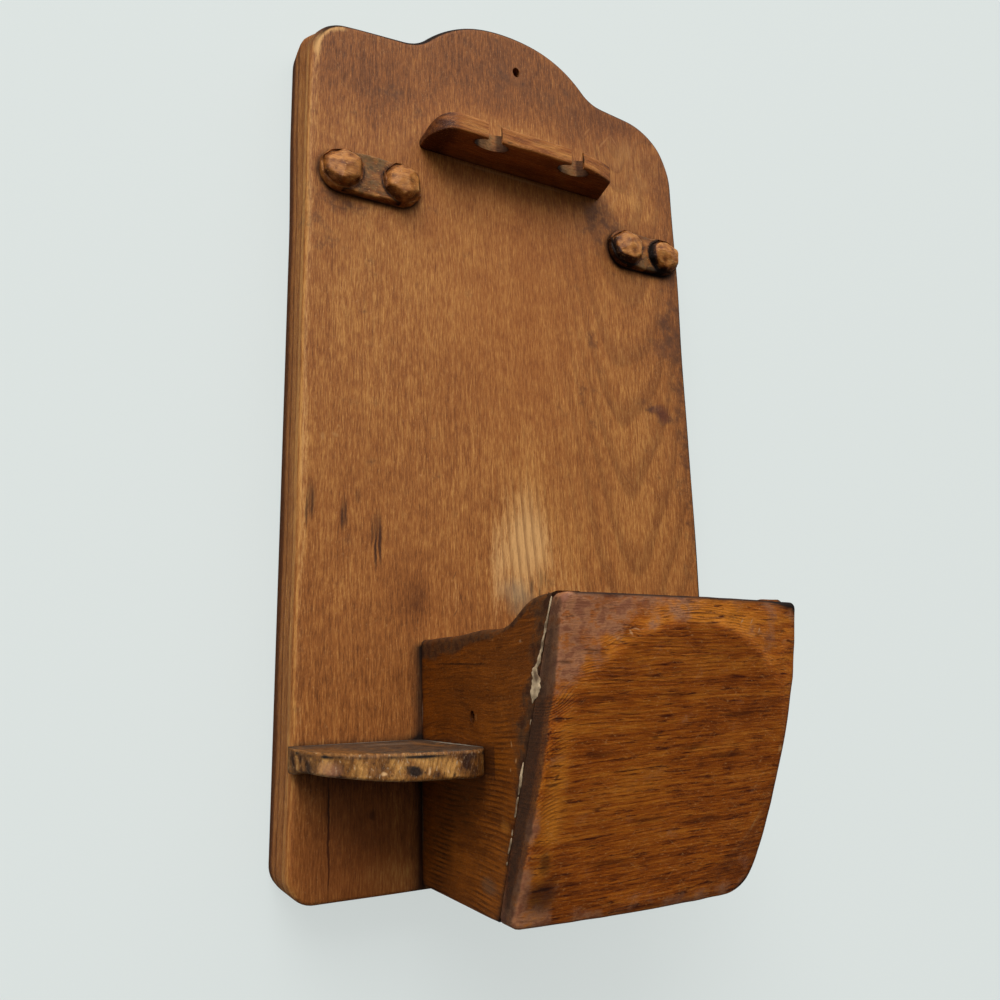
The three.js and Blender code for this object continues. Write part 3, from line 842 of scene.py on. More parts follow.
        # a thin dark line follows the scroll and the right edge, just inside the outline
        line = self.outline()
        line[:, 1] += self.fuller(line[:, 1])
        shown = (y < 1.2) & ((z > 250) | (x > 68))
        inset = np.full(len(x), 9.0)
        inset[shown] = to_outline(x[shown], z[shown], line)
        strength = 0.6 * ease(x, -45, 10) * ease(z, 255, 268) + 0.4 * ease(x, 70, 73)
        grime += bell(inset, 0, 0.8) * strength
        # the left edge of the plank: its yearly rings come out as bands
        bands = np.interp(y + 0.25 * sways(p * [0, 0, 1], 60, 13), *EDGE_BANDS)
        dress(piece, BOARD_PINE, grain=grain, rings=rings, grime=grime, figure=figure,
              tone=tone + bands * ease(-x, 72.6, 73.6), wear=wear + laid(p, (0, 9), BOARD_WEAR),
              bloom=laid(p, (0, 9), BOARD_BLOOM))


# ----------------------------------------------------------------------------------- the rail

RAIL_PINE = OldPine(
    "old_varnished_pine_rail", base="#9a5824", dark="#4d230a", pale="#c2813f", bare="#cf9050",
    grime="#190c06", bloom="#93683a", stain="#664420", ring_gap=1.3, ring_depth=0.25, streak=0.5,
    fibre=1.3, dash=0.4, glints=0.3, scratch=0.35, ior=1.27, roughness=0.5, bump=2.2, marks=(
        # painted shade on the right jamb of each notch's mouth
        *marks("#1c1008", (-12.3, -15.4, 244.5, .3, 1.2, 3.6, .85),
               (21.4, -15.4, 244.5, .3, 1.2, 3.6, .85)),
        *marks("#2a170b", (-9, -15.6, 242.2, 1.6, 1, .6, .5)),
        *marks("#6d3f1c", (4, -15.6, 245.5, 5, 1, .35, .5))))


@dataclass
class NotchedRail:
    """The rail with two notches, whittled to a thumb at its left end."""
    length: float = 76.0
    depth: float = 15.6
    thick: float = 6.5
    foot: float = 241.3
    thumb_length: float = 9.0
    thumb_top: float = 8.0
    clip_length: float = 13.0
    clip_depth: float = 3.5
    end_slant: float = 2.2
    fullness: float = 0.65
    notches: tuple[float, float] = (-14.8, 18.9)
    notch_size: tuple[float, float] = (13.0, 5.4)
    mouth: float = 5.3
    lip: float = 0.6
    nose: float = 1.2

    @property
    def left(self) -> float:
        """The x of the thumb's tip."""
        return self.nose - self.length / 2

    @property
    def notch_y(self) -> float:
        """The y of the notches' middles."""
        return -self.depth + self.lip + self.notch_size[1] / 2

    def front_edge(self, x: np.ndarray) -> np.ndarray:
        """How deep the rail is at x: a thumb curve on the left, a clipped corner on the right."""
        left, right, short = self.left, self.length / 2, 1 - self.fullness
        thumb = bezier((left, -3.0), (left, -self.depth * self.fullness),
                       (left + self.thumb_length * short, -self.depth),
                       (left + self.thumb_length, -self.depth), steps=60)
        end = right - self.end_slant
        clip = bezier((end - self.clip_length, -self.depth),
                      (end - self.clip_length * short, -self.depth + self.clip_depth * short),
                      (end, -self.depth + self.clip_depth), steps=30)
        return np.interp(x, *np.concatenate([thumb, clip, [[right, 0]]]).T)

    def top_edge(self, x: np.ndarray) -> np.ndarray:
        """How high the rail is at x, rounded off over the thumb."""
        top = self.foot + self.thick
        return np.interp(x, *bezier((self.left, self.foot + 2.4), (self.left + 0.2, top - 1.0), (
            self.left + 2.4, top), (self.left + self.thumb_top, top), steps=60).T)

    def under_edge(self, x: np.ndarray) -> np.ndarray:
        """How low the rail is at x: rounded up by 1.1 mm over its last 3 mm on the left."""
        share = np.clip((x - self.left) / 3, 0, 1)
        return self.foot + 1.1 * (1 - np.sqrt(1 - (1 - share) ** 2))

    def build(self) -> None:
        """Make the rail, a section carried along x and cut by the two notches, and dress it.

        The section is a rectangle with rounded corners: from the wall along the top to the
        front arris, down the front, and back along the underside.
        """
        left, right = self.left, self.length / 2
        steps = np.concatenate([left + 14 * np.linspace(0, 1, 34) ** 2,
                                np.linspace(left + 14, right - 3, 66)[1:],
                                np.linspace(right - 3, right, 12)[1:]])
        steps[0] += 0.05
        front, top, low = self.front_edge(steps), self.top_edge(steps), self.under_edge(steps)
        wall = np.zeros_like(front)
        r = np.minimum(0.7, 0.25 * np.minimum(-front, top - low))
        quarter = np.linspace(0, math.pi / 2, 6)
        ring = [np.stack([steps, at_y - way_y * size * (1 - math.sin(t)),
                          at_z - way_z * size * (1 - math.cos(t))], axis=1)
                for at_y, at_z, way_y, way_z, size, turns in (
                    (wall, top, 1, 1, 0.3 * r, quarter[::-1]), (front, top, -1, 1, r, quarter),
                    (front, low, -1, -1, r, quarter[::-1]), (wall, low, 1, -1, 0.3 * r, quarter))
                for t in turns]
        body = self.fill(np.stack(ring, axis=1))
        # whittled: the faces wander by a sixth of a millimetre
        hold = ease(-body[..., 1], 0, 2)
        body = body + np.stack([0 * hold, 0.16 * sways(body, 16, 21) * hold,
                                0.14 * sways(body, 18, 22) * hold], axis=-1)
        piece = put_down("whittled_rail", [body])
        carve(piece, [self.notch(centre) for centre in self.notches], 34)
        self.paint(piece)
        stand_in(piece, "notched_rail")

    @staticmethod
    def fill(rings: np.ndarray) -> np.ndarray:
        """Put more points on the long stretches of each section, 1.1 mm apart at most.

        Args:
            rings: (sections, points, 3).
        Returns:
            (sections, more points, 3).
        """
        parts = []
        for i in range(rings.shape[1]):
            here, ahead = rings[:, i], rings[:, (i + 1) % rings.shape[1]] - rings[:, i]
            steps = max(1, round(np.linalg.norm(ahead, axis=1).max() / 1.1))
            parts.append(here[:, None] + ahead[:, None] * (np.arange(steps)[None, :, None] / steps))
        return np.concatenate(parts, axis=1)

    def notch(self, centre: float) -> np.ndarray:
        """The cutter of one notch: an oval with a straight mouth to the front.

        The plan is the oval (centre + a cos t, middle + b sin t), and where it faces the front and
        lies within the mouth's width, it runs straight out past the rail.
        """
        a, b, half = self.notch_size[0] / 2, self.notch_size[1] / 2, self.mouth / 2
        meets = math.degrees(math.asin(half / a))
        oval = arc(0, 0, 1, -90 + meets, 270 - meets, 60) * [a, b] + [centre, self.notch_y]
        out = [[centre - half, -self.depth - 4], [centre + half, -self.depth - 4]]
        plan = even(np.concatenate([oval, out]), 0.5)
        return np.array([np.insert(plan, 2, z, axis=1)
                         for z in (self.foot - 3, self.foot + self.thick + 3)])

    def paint(self, piece: bpy.types.Object) -> None:
        """Dress the rail: its wood runs along x, and its rings lie flat."""
        p = places(piece)
        x, y, z = p.T
        in_notch, dirt_and_shade, lit = np.zeros((3, len(x)))
        a, b = (size / 2 + 0.15 for size in self.notch_size)
        for centre in self.notches:
            away = x - centre
            here = ((away / a) ** 2 + ((y - self.notch_y) / b) ** 2 < 1.05) * 1.0
            in_notch = np.maximum(in_notch, here)
            # dust lies at the back of the notch, dirt and painted shade darken its left and right
            # ends, and painted light brightens its back wall a little left of the middle
            dirt_and_shade += here * (ease(away, -2.4, -5.0) + 0.75 * ease(away, 2.2, 3.4))
            lit += here * bell(away, -0.8, 2.4)
        # painted shade on the underside, and the front face painted paler as the lit side
        under = ease(z, self.foot + 0.9, self.foot + 0.1)
        tone = 0.2 * ease(y, -13, -15.6) - under * (0.12 * ease(x, 38, 10) + 0.35 * ease(x, 10, 38))
        tone += 0.3 * sways(p * [0.5, 1, 2], 5, 24) * (1 - under) - 0.6 * ease(x, -25, -32)
        to_front = np.abs(y + self.depth - 0.3)
        wear = 0.75 * near(to_front, 0.5) * near(np.abs(z - self.foot - self.thick), 0.8)
        wear += 0.45 * near(to_front, 0.4) * near(np.abs(z - self.foot), 0.6)
        # dirt and painted shade where the rail meets the board
        dress(piece, RAIL_PINE, grain=np.stack([z, y, x], axis=1), tone=tone, wear=wear,
              rings=np.hypot(z - 190, 0.5 * y) + 0.4 * sways(p * [0.2, 1, 1], 9, 23),
              grime=0.55 * near(-y, 1.0) + 0.1 * in_notch + 0.6 * dirt_and_shade,
              bloom=0.35 * in_notch + 0.65 * lit)


# ------------------------------------------------------------------------------ the knob blocks

BLOCK_PINE = OldPine(
    "handled_pine_knobs", base="#8a5020", dark="#3d1c08", pale="#bd7c3c", bare="#cf9858",
    grime="#150a05", bloom="#735632", stain="#4a3820", patchy=0.5, ring_gap=1.1, ring_depth=0.1,
    streak=0.45, fibre=0.9, dash=0.25, glints=0.8, scratch=0.1, ior=1.27, roughness=0.36, bump=2.2)


@dataclass
class KnobBlock:
    """One carved block: a low saddle with round ends and a whittled knob on each end."""
    name: str
    node: str
    block: tuple[float, float, float, float]
    seed: int
    shade: float
    saddle: float = 3.0
    reach: float = 7.0
    shank: float = 4.6

    def build(self) -> None:
        """Make the saddle and both knobs, closed shells that grow into each other; dress them."""
        middle, height, reach, radius = self.block
        outline = even(np.concatenate([arc(middle + reach, height, radius, -90, 90, 30),
                                       arc(middle - reach, height, radius, 90, 270, 30)]), 0.7)
        slab = Slab(outline, ((middle - reach, height), (middle + reach, height)),
                    -self.saddle, 0.0, 0.7, 0.2, 12, 5, 3)
        saddle = slab.rows()[..., [0, 2, 1]]
        x, y, z = axes(saddle)
        low = ease(-y, 0.2, 1.5)
        y += 0.22 * sways(saddle, 9, self.seed) * low
        x += 0.25 * sways(saddle, 11, self.seed + 1) * low
        z += 0.25 * sways(saddle, 10, self.seed + 2) * low
        knobs = [self.knob(middle + side * reach, height, radius - 0.2, self.seed + 5 + side)
                 for side in (-1, 1)]
        piece = put_down(self.name, [saddle] + knobs, 32)
        self.paint(piece)
        stand_in(piece, self.node)

    def knob(self, x: float, z: float, root: float, seed: int) -> np.ndarray:
        """One knob, turned round its axis: r(t) = the rounded smallest of radius / cos(t - t_k)
        over the flats k, so every flat is a whittled facet.

        Args:
            x: place of its axis.
            z: height of its axis.
            root: its radius where it grows out of the saddle.
            seed: which facets.
        Returns:
            (rows, around, 3).
        """
        rng = np.random.default_rng(seed)
        t = np.linspace(0, TAU, 96, endpoint=False)
        # the y of each row, and its radius as a share of the root's
        profile = [(-0.8, 1.0), (-1.6, 1.0), (-self.saddle, 0.98), (-self.shank + 0.5, 0.95),
                   (-self.shank, 0.93), (-self.shank - 0.6, 0.90), (-self.reach + 1.1, 0.86),
                   (-self.reach + 0.6, 0.825), (-self.reach + 0.25, 0.78),
                   (-self.reach + 0.08, 0.74)]
        profile += [(-self.reach, share) for share in np.linspace(0.70, 0.02, 18)]
        depth, share = np.array(profile).T[..., None]
        low, high = self.facets(t, rng, 8, 0.10), self.facets(t, rng, 6, 0.16)
        tip = rng.normal(size=2) * 0.08
        # five knife cuts across the face, each a plane that falls away beyond a line
        turns = np.linspace(0, TAU, 5, endpoint=False) + rng.uniform(-0.5, 0.5, 5)
        starts, slopes = rng.uniform(0.4, 2.6, 5), rng.uniform(0.16, 0.5, 5)
        up = np.clip((-depth - self.saddle) / (self.reach - self.saddle), 0, 1)
        r = root * share * (low + (high - low) * up)
        east, north = r * np.cos(t), r * np.sin(t)
        beyond = east[..., None] * np.cos(turns) + north[..., None] * np.sin(turns) - starts
        fall = tip[0] * east + tip[1] * north + (np.maximum(beyond, 0) * slopes).max(axis=-1)
        y = depth + ease(-depth, self.shank - 1.0, self.shank + 0.7) * fall
        grid = np.stack([x + east, y, z + north], axis=-1)
        grid[..., 1] += 0.05 * sways(grid, 3.0, seed) * ease(-grid[..., 1], 2, 4)
        return grid

    @staticmethod
    def facets(t: np.ndarray, rng: np.random.Generator, count: int, spread: float) -> np.ndarray:
        """A polygon's radius as a share of 1: the smooth least of d_k / cos(t - t_k).

        Args:
            t: angles.
            rng: where the flats' turns and distances come from.
            count: how many flats.
            spread: how unequal they are.
        Returns:
            The share for each angle.
        """
        turns = np.linspace(0, TAU, count, endpoint=False) + rng.normal(size=count) * 0.12
        apart = 1 + spread * (rng.random(count) - 0.75)
        facing = np.cos(t[:, None] - turns[None, :])
        r = np.where(facing > 0.15, apart / np.maximum(facing, 0.15), 9.0)
        return -np.log(np.exp(-r * 70).sum(axis=1)) / 70

    def paint(self, piece: bpy.types.Object) -> None:
        """Dress the block: rubbed and waxy on the knobs, their faces and rims partly painted light
        and their lower walls painted in shade; greyed in the saddle.
        """
        p = places(piece)
        x, y, z = p.T
        middle, height, reach, radius = self.block
        axis = np.where(x > middle, middle + reach, middle - reach)
        from_axis = np.hypot(x - axis, z - height)
        face = ease(from_axis, 0.84 * radius, 0.74 * radius) * ease(-y, 4.6, 5.4)
        wall = ease(from_axis, 0.72 * radius, 0.84 * radius) * ease(-y, 2.4, 3.4)
        wall *= ease(from_axis, radius + 0.4, radius)
        # painted shade: the walls are dark on their lower left, away from the light
        shaded_side = ease(-0.75 * (x - axis) - 0.65 * (z - height), -0.1 * radius, 0.8 * radius)
        # painted shade: a dark crescent on the left of the right knob
        inner = ease(axis - x, 0.1 * radius, 0.75 * radius) * (x > middle)
        # painted shade at the foot of the lower walls, strong only on a block whose shade is above
        # 0.6
        lower = np.where(x < middle, shaded_side, ease(height - z, 0, 4))
        foot = ease(-y, 4.2, 2.8) * lower * ease(stadium(x, z, self.block), -1.8, -1.0)
        foot_shade = 0.9 * max(self.shade - 0.6, 0) * foot
        # the faces paler, worn and partly painted light; the walls darker, with painted shade on
        # the lower ones and the crescent; dirt and painted shade against the board
        tone = 0.3 * face + 0.3 * sways(p, 3, self.seed + 3) - 0.1 * wall + 0.15 * foot - foot_shade
        tone -= 0.9 * wall * self.shade * (shaded_side + 0.8 * inner)
        grime = 0.5 * near(-y - 0.2, 0.7) + self.shade * 0.42 * wall * shaded_side + foot_shade
        # dirt and painted shade in the crease round the knobs' roots, between the knobs
        seam = np.abs(from_axis - radius) * (np.abs(x - middle) < reach)
        grime += 0.75 * near(seam, 0.5) * ease(-y, 4.0, 3.0) * (y < -1) * (seam > 0)
        grime += (0.15 + 0.4 * self.shade) * wall * inner * ease(-y, 5.5, 3.5)
        # wear with a painted highlight on the faces' rims, kept off the shaded side
        rim = bell(from_axis, 0.76 * radius, 0.6) * ease(-y, 4.6, 5.4)
        dress(piece, BLOCK_PINE, grain=np.stack([z, y, x], axis=1), tone=tone, grime=grime,
              rings=np.hypot(z - height + 20, y) + 0.5 * sways(p, 8, self.seed + 9),
              wear=0.3 * rim * (1 - shaded_side)
              + 0.2 * face * (1 + 0.9 * sways(p, 2.6, self.seed + 4)),
              bloom=ease(-y, 4.0, 3.2) * ease(from_axis, radius - 0.2, radius + 0.8) * 0.5)


# --------------------------------------------------------------------------------------- the box

# height in the joint, and half the filler's width or its shift to the back there
FILLER_WIDTHS = (
    (9, 15.3, 15.9, 16.6, 17.4, 18.7, 21, 23.7, 24.3, 26.6, 27.3, 29, 31.2, 31.9, 32.8, 36, 39.4,
     40, 47.9, 48.5, 49.4, 50, 53.2, 53.9, 54.6, 56.4, 57.8, 59.4, 60.8, 61.8, 65, 69.5, 72, 77.4),
    (0.04, 0.04, 0.25, 0.04, 0.04, 0.25, 0.4, 0.25, 0.04, 0.04, 0.3, 0.4, 0.3, 0.04, 0.3, 0.45, 0.3,
     0.04, 0.04, 0.25, 0.25, 0.04, 0.04, 0.3, 0.9, 1.4, 1.5, 1.6, 1.4, 0.8, 0.55, 0.5, 0.35, 0.2))
FILLER_PLACES = ((15, 28, 39, 49, 54, 56, 59, 61, 65, 69.5, 77),
                 (0.5, 0.3, 0.5, 0.2, 0.6, 0.8, 1.1, 1.5, 0.7, 0.5, 0.0))
FRONT_TONES = ((-32, 51, 3, 8, -.25), (-6, 30, 14, 12, .12), (-33, 28, 3.5, 22, .18),
               (0, 74, 26, 3, .15))

FRONT_PINE = OldPine(
    "oiled_pine_front", base="#a0500c", dark="#421203", pale="#cf7c22", bare="#cf9559",
    grime="#170a05", bloom="#a87350", stain="#88553c", ring_gap=1.05, ring_depth=0.4, streak=1.1,
    fibre=1.9, dash=0.95, glints=0.5, scratch=0.2, ior=1.32, roughness=0.44, bump=1.6, marks=(
        # the dull strip down the joint, and dark streaks across the field
        *marks("#3a2a1e", (BOX_LEFT - .2, -66.9, 39, 1.1, 6, 60, .7, 21.5), soft=.4,
               face=Face.SIDE),
        *marks("#3a1200", (19.1, -75, 49.1, 7.5, 9, 1, .54), (27.5, -73, 49.6, 5.2, 9, .7, .47),
               (18.2, -71, 38.9, 9.8, 9, 1.1, .54), (6, -71, 41.5, 6, 9, .9, .47),
               (-22, -71.9, 41.2, 6.8, 9, 1, .5), (-3.6, -65.3, 24.5, 8.2, 9, .9, .5),
               (15.1, -64.7, 22.8, 8.2, 9, 1, .5), (-23.8, -77.1, 54.3, 6, 9, .8, .4),
               (-1.9, -77.2, 54.5, 9, 9, .7, .4), (-13.4, -61.6, 15.1, 9, 9, 1, .5)),
        *marks("#451702", (-6.1, -73.2, 44.5, 1.3, 9, .6, .6)),
        *marks("#2b1108", (-34.6, -75.3, 49.9, 2, 9, .8, .7), (-33.5, -69.5, 35, 2.4, 9, .5, .7),
               (-34.5, -80, 62.5, 2.6, 9, .5, .6), (-28.5, -81, 65, 3, 9, .4, .5)),
        # flecks and scratches
        *marks("#c49a70", (15.5, -80, 72, .4, 9, 1, .7, 35), (19, -80, 72, .3, 9, 1.2, .7, 30),
               (22, -80, 70, .35, 9, .9, .7, 20)),
        *marks("#d09a68", (-18.4, -83, 69, .4, 9, 1.3, .7, -35),
               (-17, -83, 69.8, 1.5, 9, .3, .6, 12)),
        *marks("#c08e60", (-21.5, -82, 68, .3, 9, 1, .5, 30)),
        *marks("#b98050", (8.5, -76, 67, .3, 9, .8, .5, 20)),
        *marks("#c58b4e", (36.5, -68, 39.6, .9, 9, 1.4, .8)),
        *marks("#a9672c", (12, -62, 28, .15, 9, 1.8, .5, 50), (0, -62, 25, .12, 9, 1.3, .4, -40)),
        *marks("#2a1108", (-32.6, -66, 36.9, .7, 9, 1.6, .8, 20)),
        *marks("#b5824c", (32.4, -60, 20, .5, 9, 3.6, .55, 18)),
        # dark lower left corner
        *marks("#240f09", (-30.5, -56, 9, 6, 14, 6, .75, -25),
               (-31.6, -58, 17, 2.2, 14, 4.5, .6, -12))))

SIDE_PINE = OldPine(
    "dark_stained_pine_sides", base="#703804", dark="#260d02", pale="#9c540c", bare="#9a6a3c",
    grime="#110805", bloom="#503520", stain="#3a2216", ring_gap=1.35, ring_depth=0.45, streak=0.6,
    fibre=1.1, dash=0.5, glints=0.35, scratch=0.06, ior=1.27, roughness=0.5, bump=1.4, marks=(
        # dust and a dark spot in the corner with the board
        *marks("#857c6d", (BOX_LEFT, -.9, 19, .8, .4, 15, .55), (BOX_LEFT, -.9, 50, .8, .4, 5, .5),
               soft=.9, face=Face.SIDE),
        *marks("#0f0a07", (BOX_LEFT, -1, 55, .8, .7, 3, .7), soft=.9, face=Face.SIDE),
        *marks("#c07a2a", (BOX_LEFT, -52, 24, .8, 3.4, 2.2, .3), face=Face.SIDE),
        # scratches behind the joint
        *marks("#b98a5a", (BOX_LEFT, -58.5, 40, 3, .5, .8, .6, 20),
               (BOX_LEFT, -56.6, 43.5, 3, .4, 1, .6, -10), (BOX_LEFT, -55.8, 37.6, 3, .4, .6, .5),
               face=Face.SIDE),
        *marks("#a9805c", (BOX_LEFT, -62, 68, 3, .8, .5, .5), face=Face.SIDE),
        # stain round the nail hole with painted shade inside it, and a dark line of the grain
        *marks("#1a0b05", (BOX_LEFT, *NAIL_HOLE, 3, 2.2, 2.6, .9), face=Face.SIDE),
        *marks("#a8723c", (BOX_LEFT, -37.4, 49.5, 3, .5, 1.4, .5), face=Face.SIDE),
        *marks("#220f05", (BOX_LEFT, -27, 63.6, 3, 22, .4, .75, 2), face=Face.SIDE),
        *marks("#6a5440", (BOX_LEFT, -43, 9, 3, 6, 3, .4), face=Face.SIDE)))


@dataclass(frozen=True)
class OldFiller:
    """Filler pressed into an open joint by hand, dried chalky and cracked, and now grey with dirt.

    It gives the eye a matt, crumbly pale line.
    """
    name: str = "chalky_joint_filler"
    pale: str = "#cbb08c"
    darkened: str = "#6a533c"

    def material(self) -> bpy.types.Material:
        """Build the node tree: two colours mixed by a 1.5 mm noise, and a rough relief."""
        material = bpy.data.materials.new(self.name)
        tree = cleared(material)
        where = add(tree, "TexCoord").outputs["Object"]
        crumbs = add(tree, "TexNoise", {"Vector": where, "Scale": 260.0, "Detail": 5.0})
        share = add(tree, "MapRange", {"Value": crumbs, "From Min": 0.4, "From Max": 0.6})
        tint = add(tree, "Mix", {0: share, 6: linear(self.darkened), 7: linear(self.pale)},
                   data_type="RGBA").outputs[2]
        relief = add(tree, "Bump", {"Height": crumbs, "Distance": 0.2 * MM, "Strength": 0.9})
        add(tree, "OutputMaterial", {0: add(tree, "BsdfPrincipled", {
            "Base Color": tint, "IOR": 1.45, "Roughness": 0.9, "Normal": relief})})
        return material


@dataclass
class NoteBox:
    """The box for the notepads: two side panels, a bottom, and a front plank that leans out."""
    left: float = BOX_LEFT
    right: float = BOX_RIGHT
    foot: float = 1.8
    depth_at_foot: float = 47.7
    lean: float = math.radians(21.5)
    side_thickness: float = 8.0
    low: float = BOX_TOP
    high: float = 78.8
    crest: float = 2.5
    sweep: float = 28.5
    front_thickness: float = 7.8
    drop_left: float = 0.6
    drop_right: float = 1.5
    draw_in: float = 2.1
    draw_length: float = 28.8
    foot_radius: float = 9.4
    corner: float = 2.0
    field_radius: float = 36.0
    field_z: float = 37.3
    spread: float = 6.5
    shift: float = 1.9
    bottom_thickness: float = 7.0
    gap: float = 0.3

    def build(self) -> None:
        """Make the sides, the front, the bottom and the filler, and dress them."""
        for name, node, from_x, out, nail, seed in (
                ("box_side_left", "box_left_side", self.left, self.left, True, 201),
                ("box_side_right", "box_right_side", self.right - self.side_thickness, self.right,
                 False, 211)):
            piece = self.build_side(name, from_x, nail, seed)
            self.paint_side(piece, out)
            stand_in(piece, node)
        piece = self.build_front()
        self.paint_front(piece)
        stand_in(piece, "box_front")
        piece = self.build_bottom()
        self.paint_bottom(piece)
        stand_in(piece, "box_bottom")
        filler = self.build_filler()
        filler.data.materials.append(OldFiller().material())
        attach(filler, "root")
        log.info("joint_filler: %d faces", len(filler.data.polygons))

    def side_edge(self, z: np.ndarray | float) -> np.ndarray | float:
        """Where the sides' leaning edge stands: y = -depth at foot - tan(lean) (z - foot)."""
        return -self.depth_at_foot - math.tan(self.lean) * (z - self.foot)

    def side_profile(self) -> np.ndarray:
        """A side panel's outline in (y, z), counterclockwise seen from its right."""
        front = self.side_edge(self.high)
        crest_back = front + self.crest
        sweep_back = crest_back + self.sweep
        middle = (crest_back + sweep_back) / 2
        sweep = bezier((sweep_back, self.low), (middle, self.low), (middle, self.high),
                       (crest_back, self.high), steps=50)
        leaning = np.linspace((front, self.high), (self.side_edge(self.foot), self.foot), 60)
        return np.concatenate([[[0, self.foot], [0, self.low]], sweep, leaning])

    def build_side(self, name: str, from_x: float, nail: bool, seed: int) -> bpy.types.Object:
        """Make one side panel, its top edge rounded by hands.

        Args:
            name: the piece's name.
            from_x: the panel's left face.
            nail: whether a nail hole is cut into its left face.
            seed: which unevenness.
        Returns:
            The piece.
        """
        outline = even(self.side_profile(), 0.9)
        rounded = 0.35 + 1.5 * ease(outline[:, 1], self.low - 1, self.low - 0.2)
        rows = Slab(outline, ((-18, 36), (-46, 42)), from_x, from_x + self.side_thickness,
                    rounded, 1.0, 30, 8, 14).rows()[..., [2, 0, 1]]
        x, y, z = axes(rows)
        # the right panel's crest is worn down towards the front plank
        if not nail:
            worn = 1.7 * ease(y, -74, -76.5) - 0.5 * ease(y, -64, -70)
            z -= worn * ease(z, 66, 78)
        hold = ease(-y, 0, 6) * ease(-y + self.side_edge(z), 0, -5)
        x += 0.14 * sways(rows, 26, seed) * hold
        z += 0.3 * sways(rows, 22, seed + 1) * ease(z, 68, 71.5) * hold
        piece = put_down(name, [rows], 45)
        if nail:
            carve(piece, [rod((from_x - 2, *NAIL_HOLE), (from_x + 1.8, *NAIL_HOLE), 1.3, 1.7)], 45)
        return piece

    def front_outline(self) -> np.ndarray:
        """The front plank's outline in (x, z), square on the left and round on the right."""
        c, f = self.corner, self.foot_radius
        top_left, top_right = self.high - self.drop_left, self.high - self.drop_right
        straight = top_right - self.draw_length
        drawn = self.right - self.draw_in
        return even(np.concatenate([
            arc(self.right - f, self.foot + f, f, -90, 0),
            bezier((self.right, straight), (self.right, (straight + top_right) / 2),
                   (drawn, top_right - c)),
            arc(drawn - c, top_right - c, c, 0, 90, 12),
            arc(self.left + c, top_left - c, c, 90, 180, 12),
            arc(self.left + c, self.foot + c, c, 180, 270, 12)]), 0.8)

    def sunk(self, x: np.ndarray, z: np.ndarray) -> tuple[np.ndarray, np.ndarray]:
        """How deep the bevel round the field lies below the plank's flat face.

        On the face, u = x - middle and v = (z - field z) / cos(lean). At a depth d the bevel's
        radius is R + spread d and its centre lies shift d further down, so d solves
        u^2 + (v + shift d)^2 = (R + spread d)^2. A point at depth d has also risen by d sin(lean),
        which is put right in five rounds.

        Args:
            x: places across.
            z: heights of the finished surface.
        Returns:
            The depth d, 0 on the field, and the surface's y.
        """
        u = x - (self.left + self.right) / 2
        across = self.front_thickness / math.cos(self.lean)
        face_y = self.side_edge(self.field_z) - self.gap - across
        d = np.zeros_like(x)
        quad = self.spread ** 2 - self.shift ** 2
        for _ in range(5):
            v = (z - d * math.sin(self.lean) - self.field_z) / math.cos(self.lean)
            half = self.field_radius * self.spread - self.shift * v
            rest = self.field_radius ** 2 - u ** 2 - v ** 2
            d = (-half + np.sqrt(np.maximum(half ** 2 - quad * rest, 0))) / quad
            d = np.where(rest < 0, d, 0)
        y = face_y - math.tan(self.lean) * (z - d * math.sin(self.lean) - self.field_z)
        return d, y + d * math.cos(self.lean)

    def build_front(self) -> bpy.types.Object:
        """Make the front plank as one profile carried round its outline.

        Rows run from the middle of the field to the field's circle, on over the bevel to the
        arris, down the level-cut edge and in over the back. The field is hand-planed: it is
        crowned by 0.3 mm and wavers, and the bevel is cut in flat strokes.
        """
        outline = self.front_outline()
        centre = np.array([(self.left + self.right) / 2, self.field_z])
        away = outline - centre
        turn = np.arctan2(away[:, 1] / math.cos(self.lean), away[:, 0])
        circle = centre + self.field_radius * np.stack(
            [np.cos(turn), np.sin(turn) * math.cos(self.lean)], axis=1)
        normal = inwards(outline)
        size = 0.9 + 0.25 * sways(np.insert(outline, 1, 0, axis=1), 14, 41)
        # the left arris is cut away most, where the plank's end shows beside the joint
        size += 1.3 * ease(outline[:, 0], self.left + 2.5, self.left + 0.3)
        rim = outline + normal * size[:, None]
        flat = [centre + (circle - centre) * t for t in np.linspace(0.01, 1, 40)]
        flat += [circle + (rim - circle) * t for t in np.linspace(0, 1, 12)[1:]]
        x, z = axes(np.array(flat))
        d, y = self.sunk(x, z)
        place = np.stack([x, y, z], axis=-1)
        # planing strokes run up the plank, and the bevel's strokes run round it
        angle = np.arctan2(z - centre[1], x - centre[0])
        stroke = np.abs(np.sin(angle * 13 + 1.2 * sways(place, 30, 43)))
        y = y + 0.10 * sways(place * [1, 1, 0.4], 12, 42) * ease(d, 0.25, 0.0)
        y = y + (0.14 * stroke + 0.14 * sways(place, 9, 44)) * ease(d, 0.05, 0.6)
        # round the arris, down the edge, and over the back
        sections = [(outline + normal * (size * (1 - math.sin(t)))[:, None],
                     y[-1] + size * (1 - math.cos(t))) for t in np.linspace(0, math.pi / 2, 6)[1:]]
        wall = sections[-1][1]
        back = self.side_edge(outline[:, 1]) - self.gap
        sections += [(outline, wall + (back - wall) * t) for t in np.linspace(0, 1, 8)[1:]]
        inner = [outline + (centre - outline) * t for t in np.linspace(0, 0.985, 10)[1:]]
        sections += [(spot, self.side_edge(spot[:, 1]) - self.gap) for spot in inner]
        edge = [np.insert(spot, 1, depth, axis=1) for spot, depth in sections]
        rows = np.concatenate([np.stack([x, y, z], axis=-1), edge])
        # sawn 0.6 mm full at its foot
        rows[..., 2] -= 0.6 * ease(rows[..., 2], 9, 2)
        return put_down("round_field_front", [rows], 48)

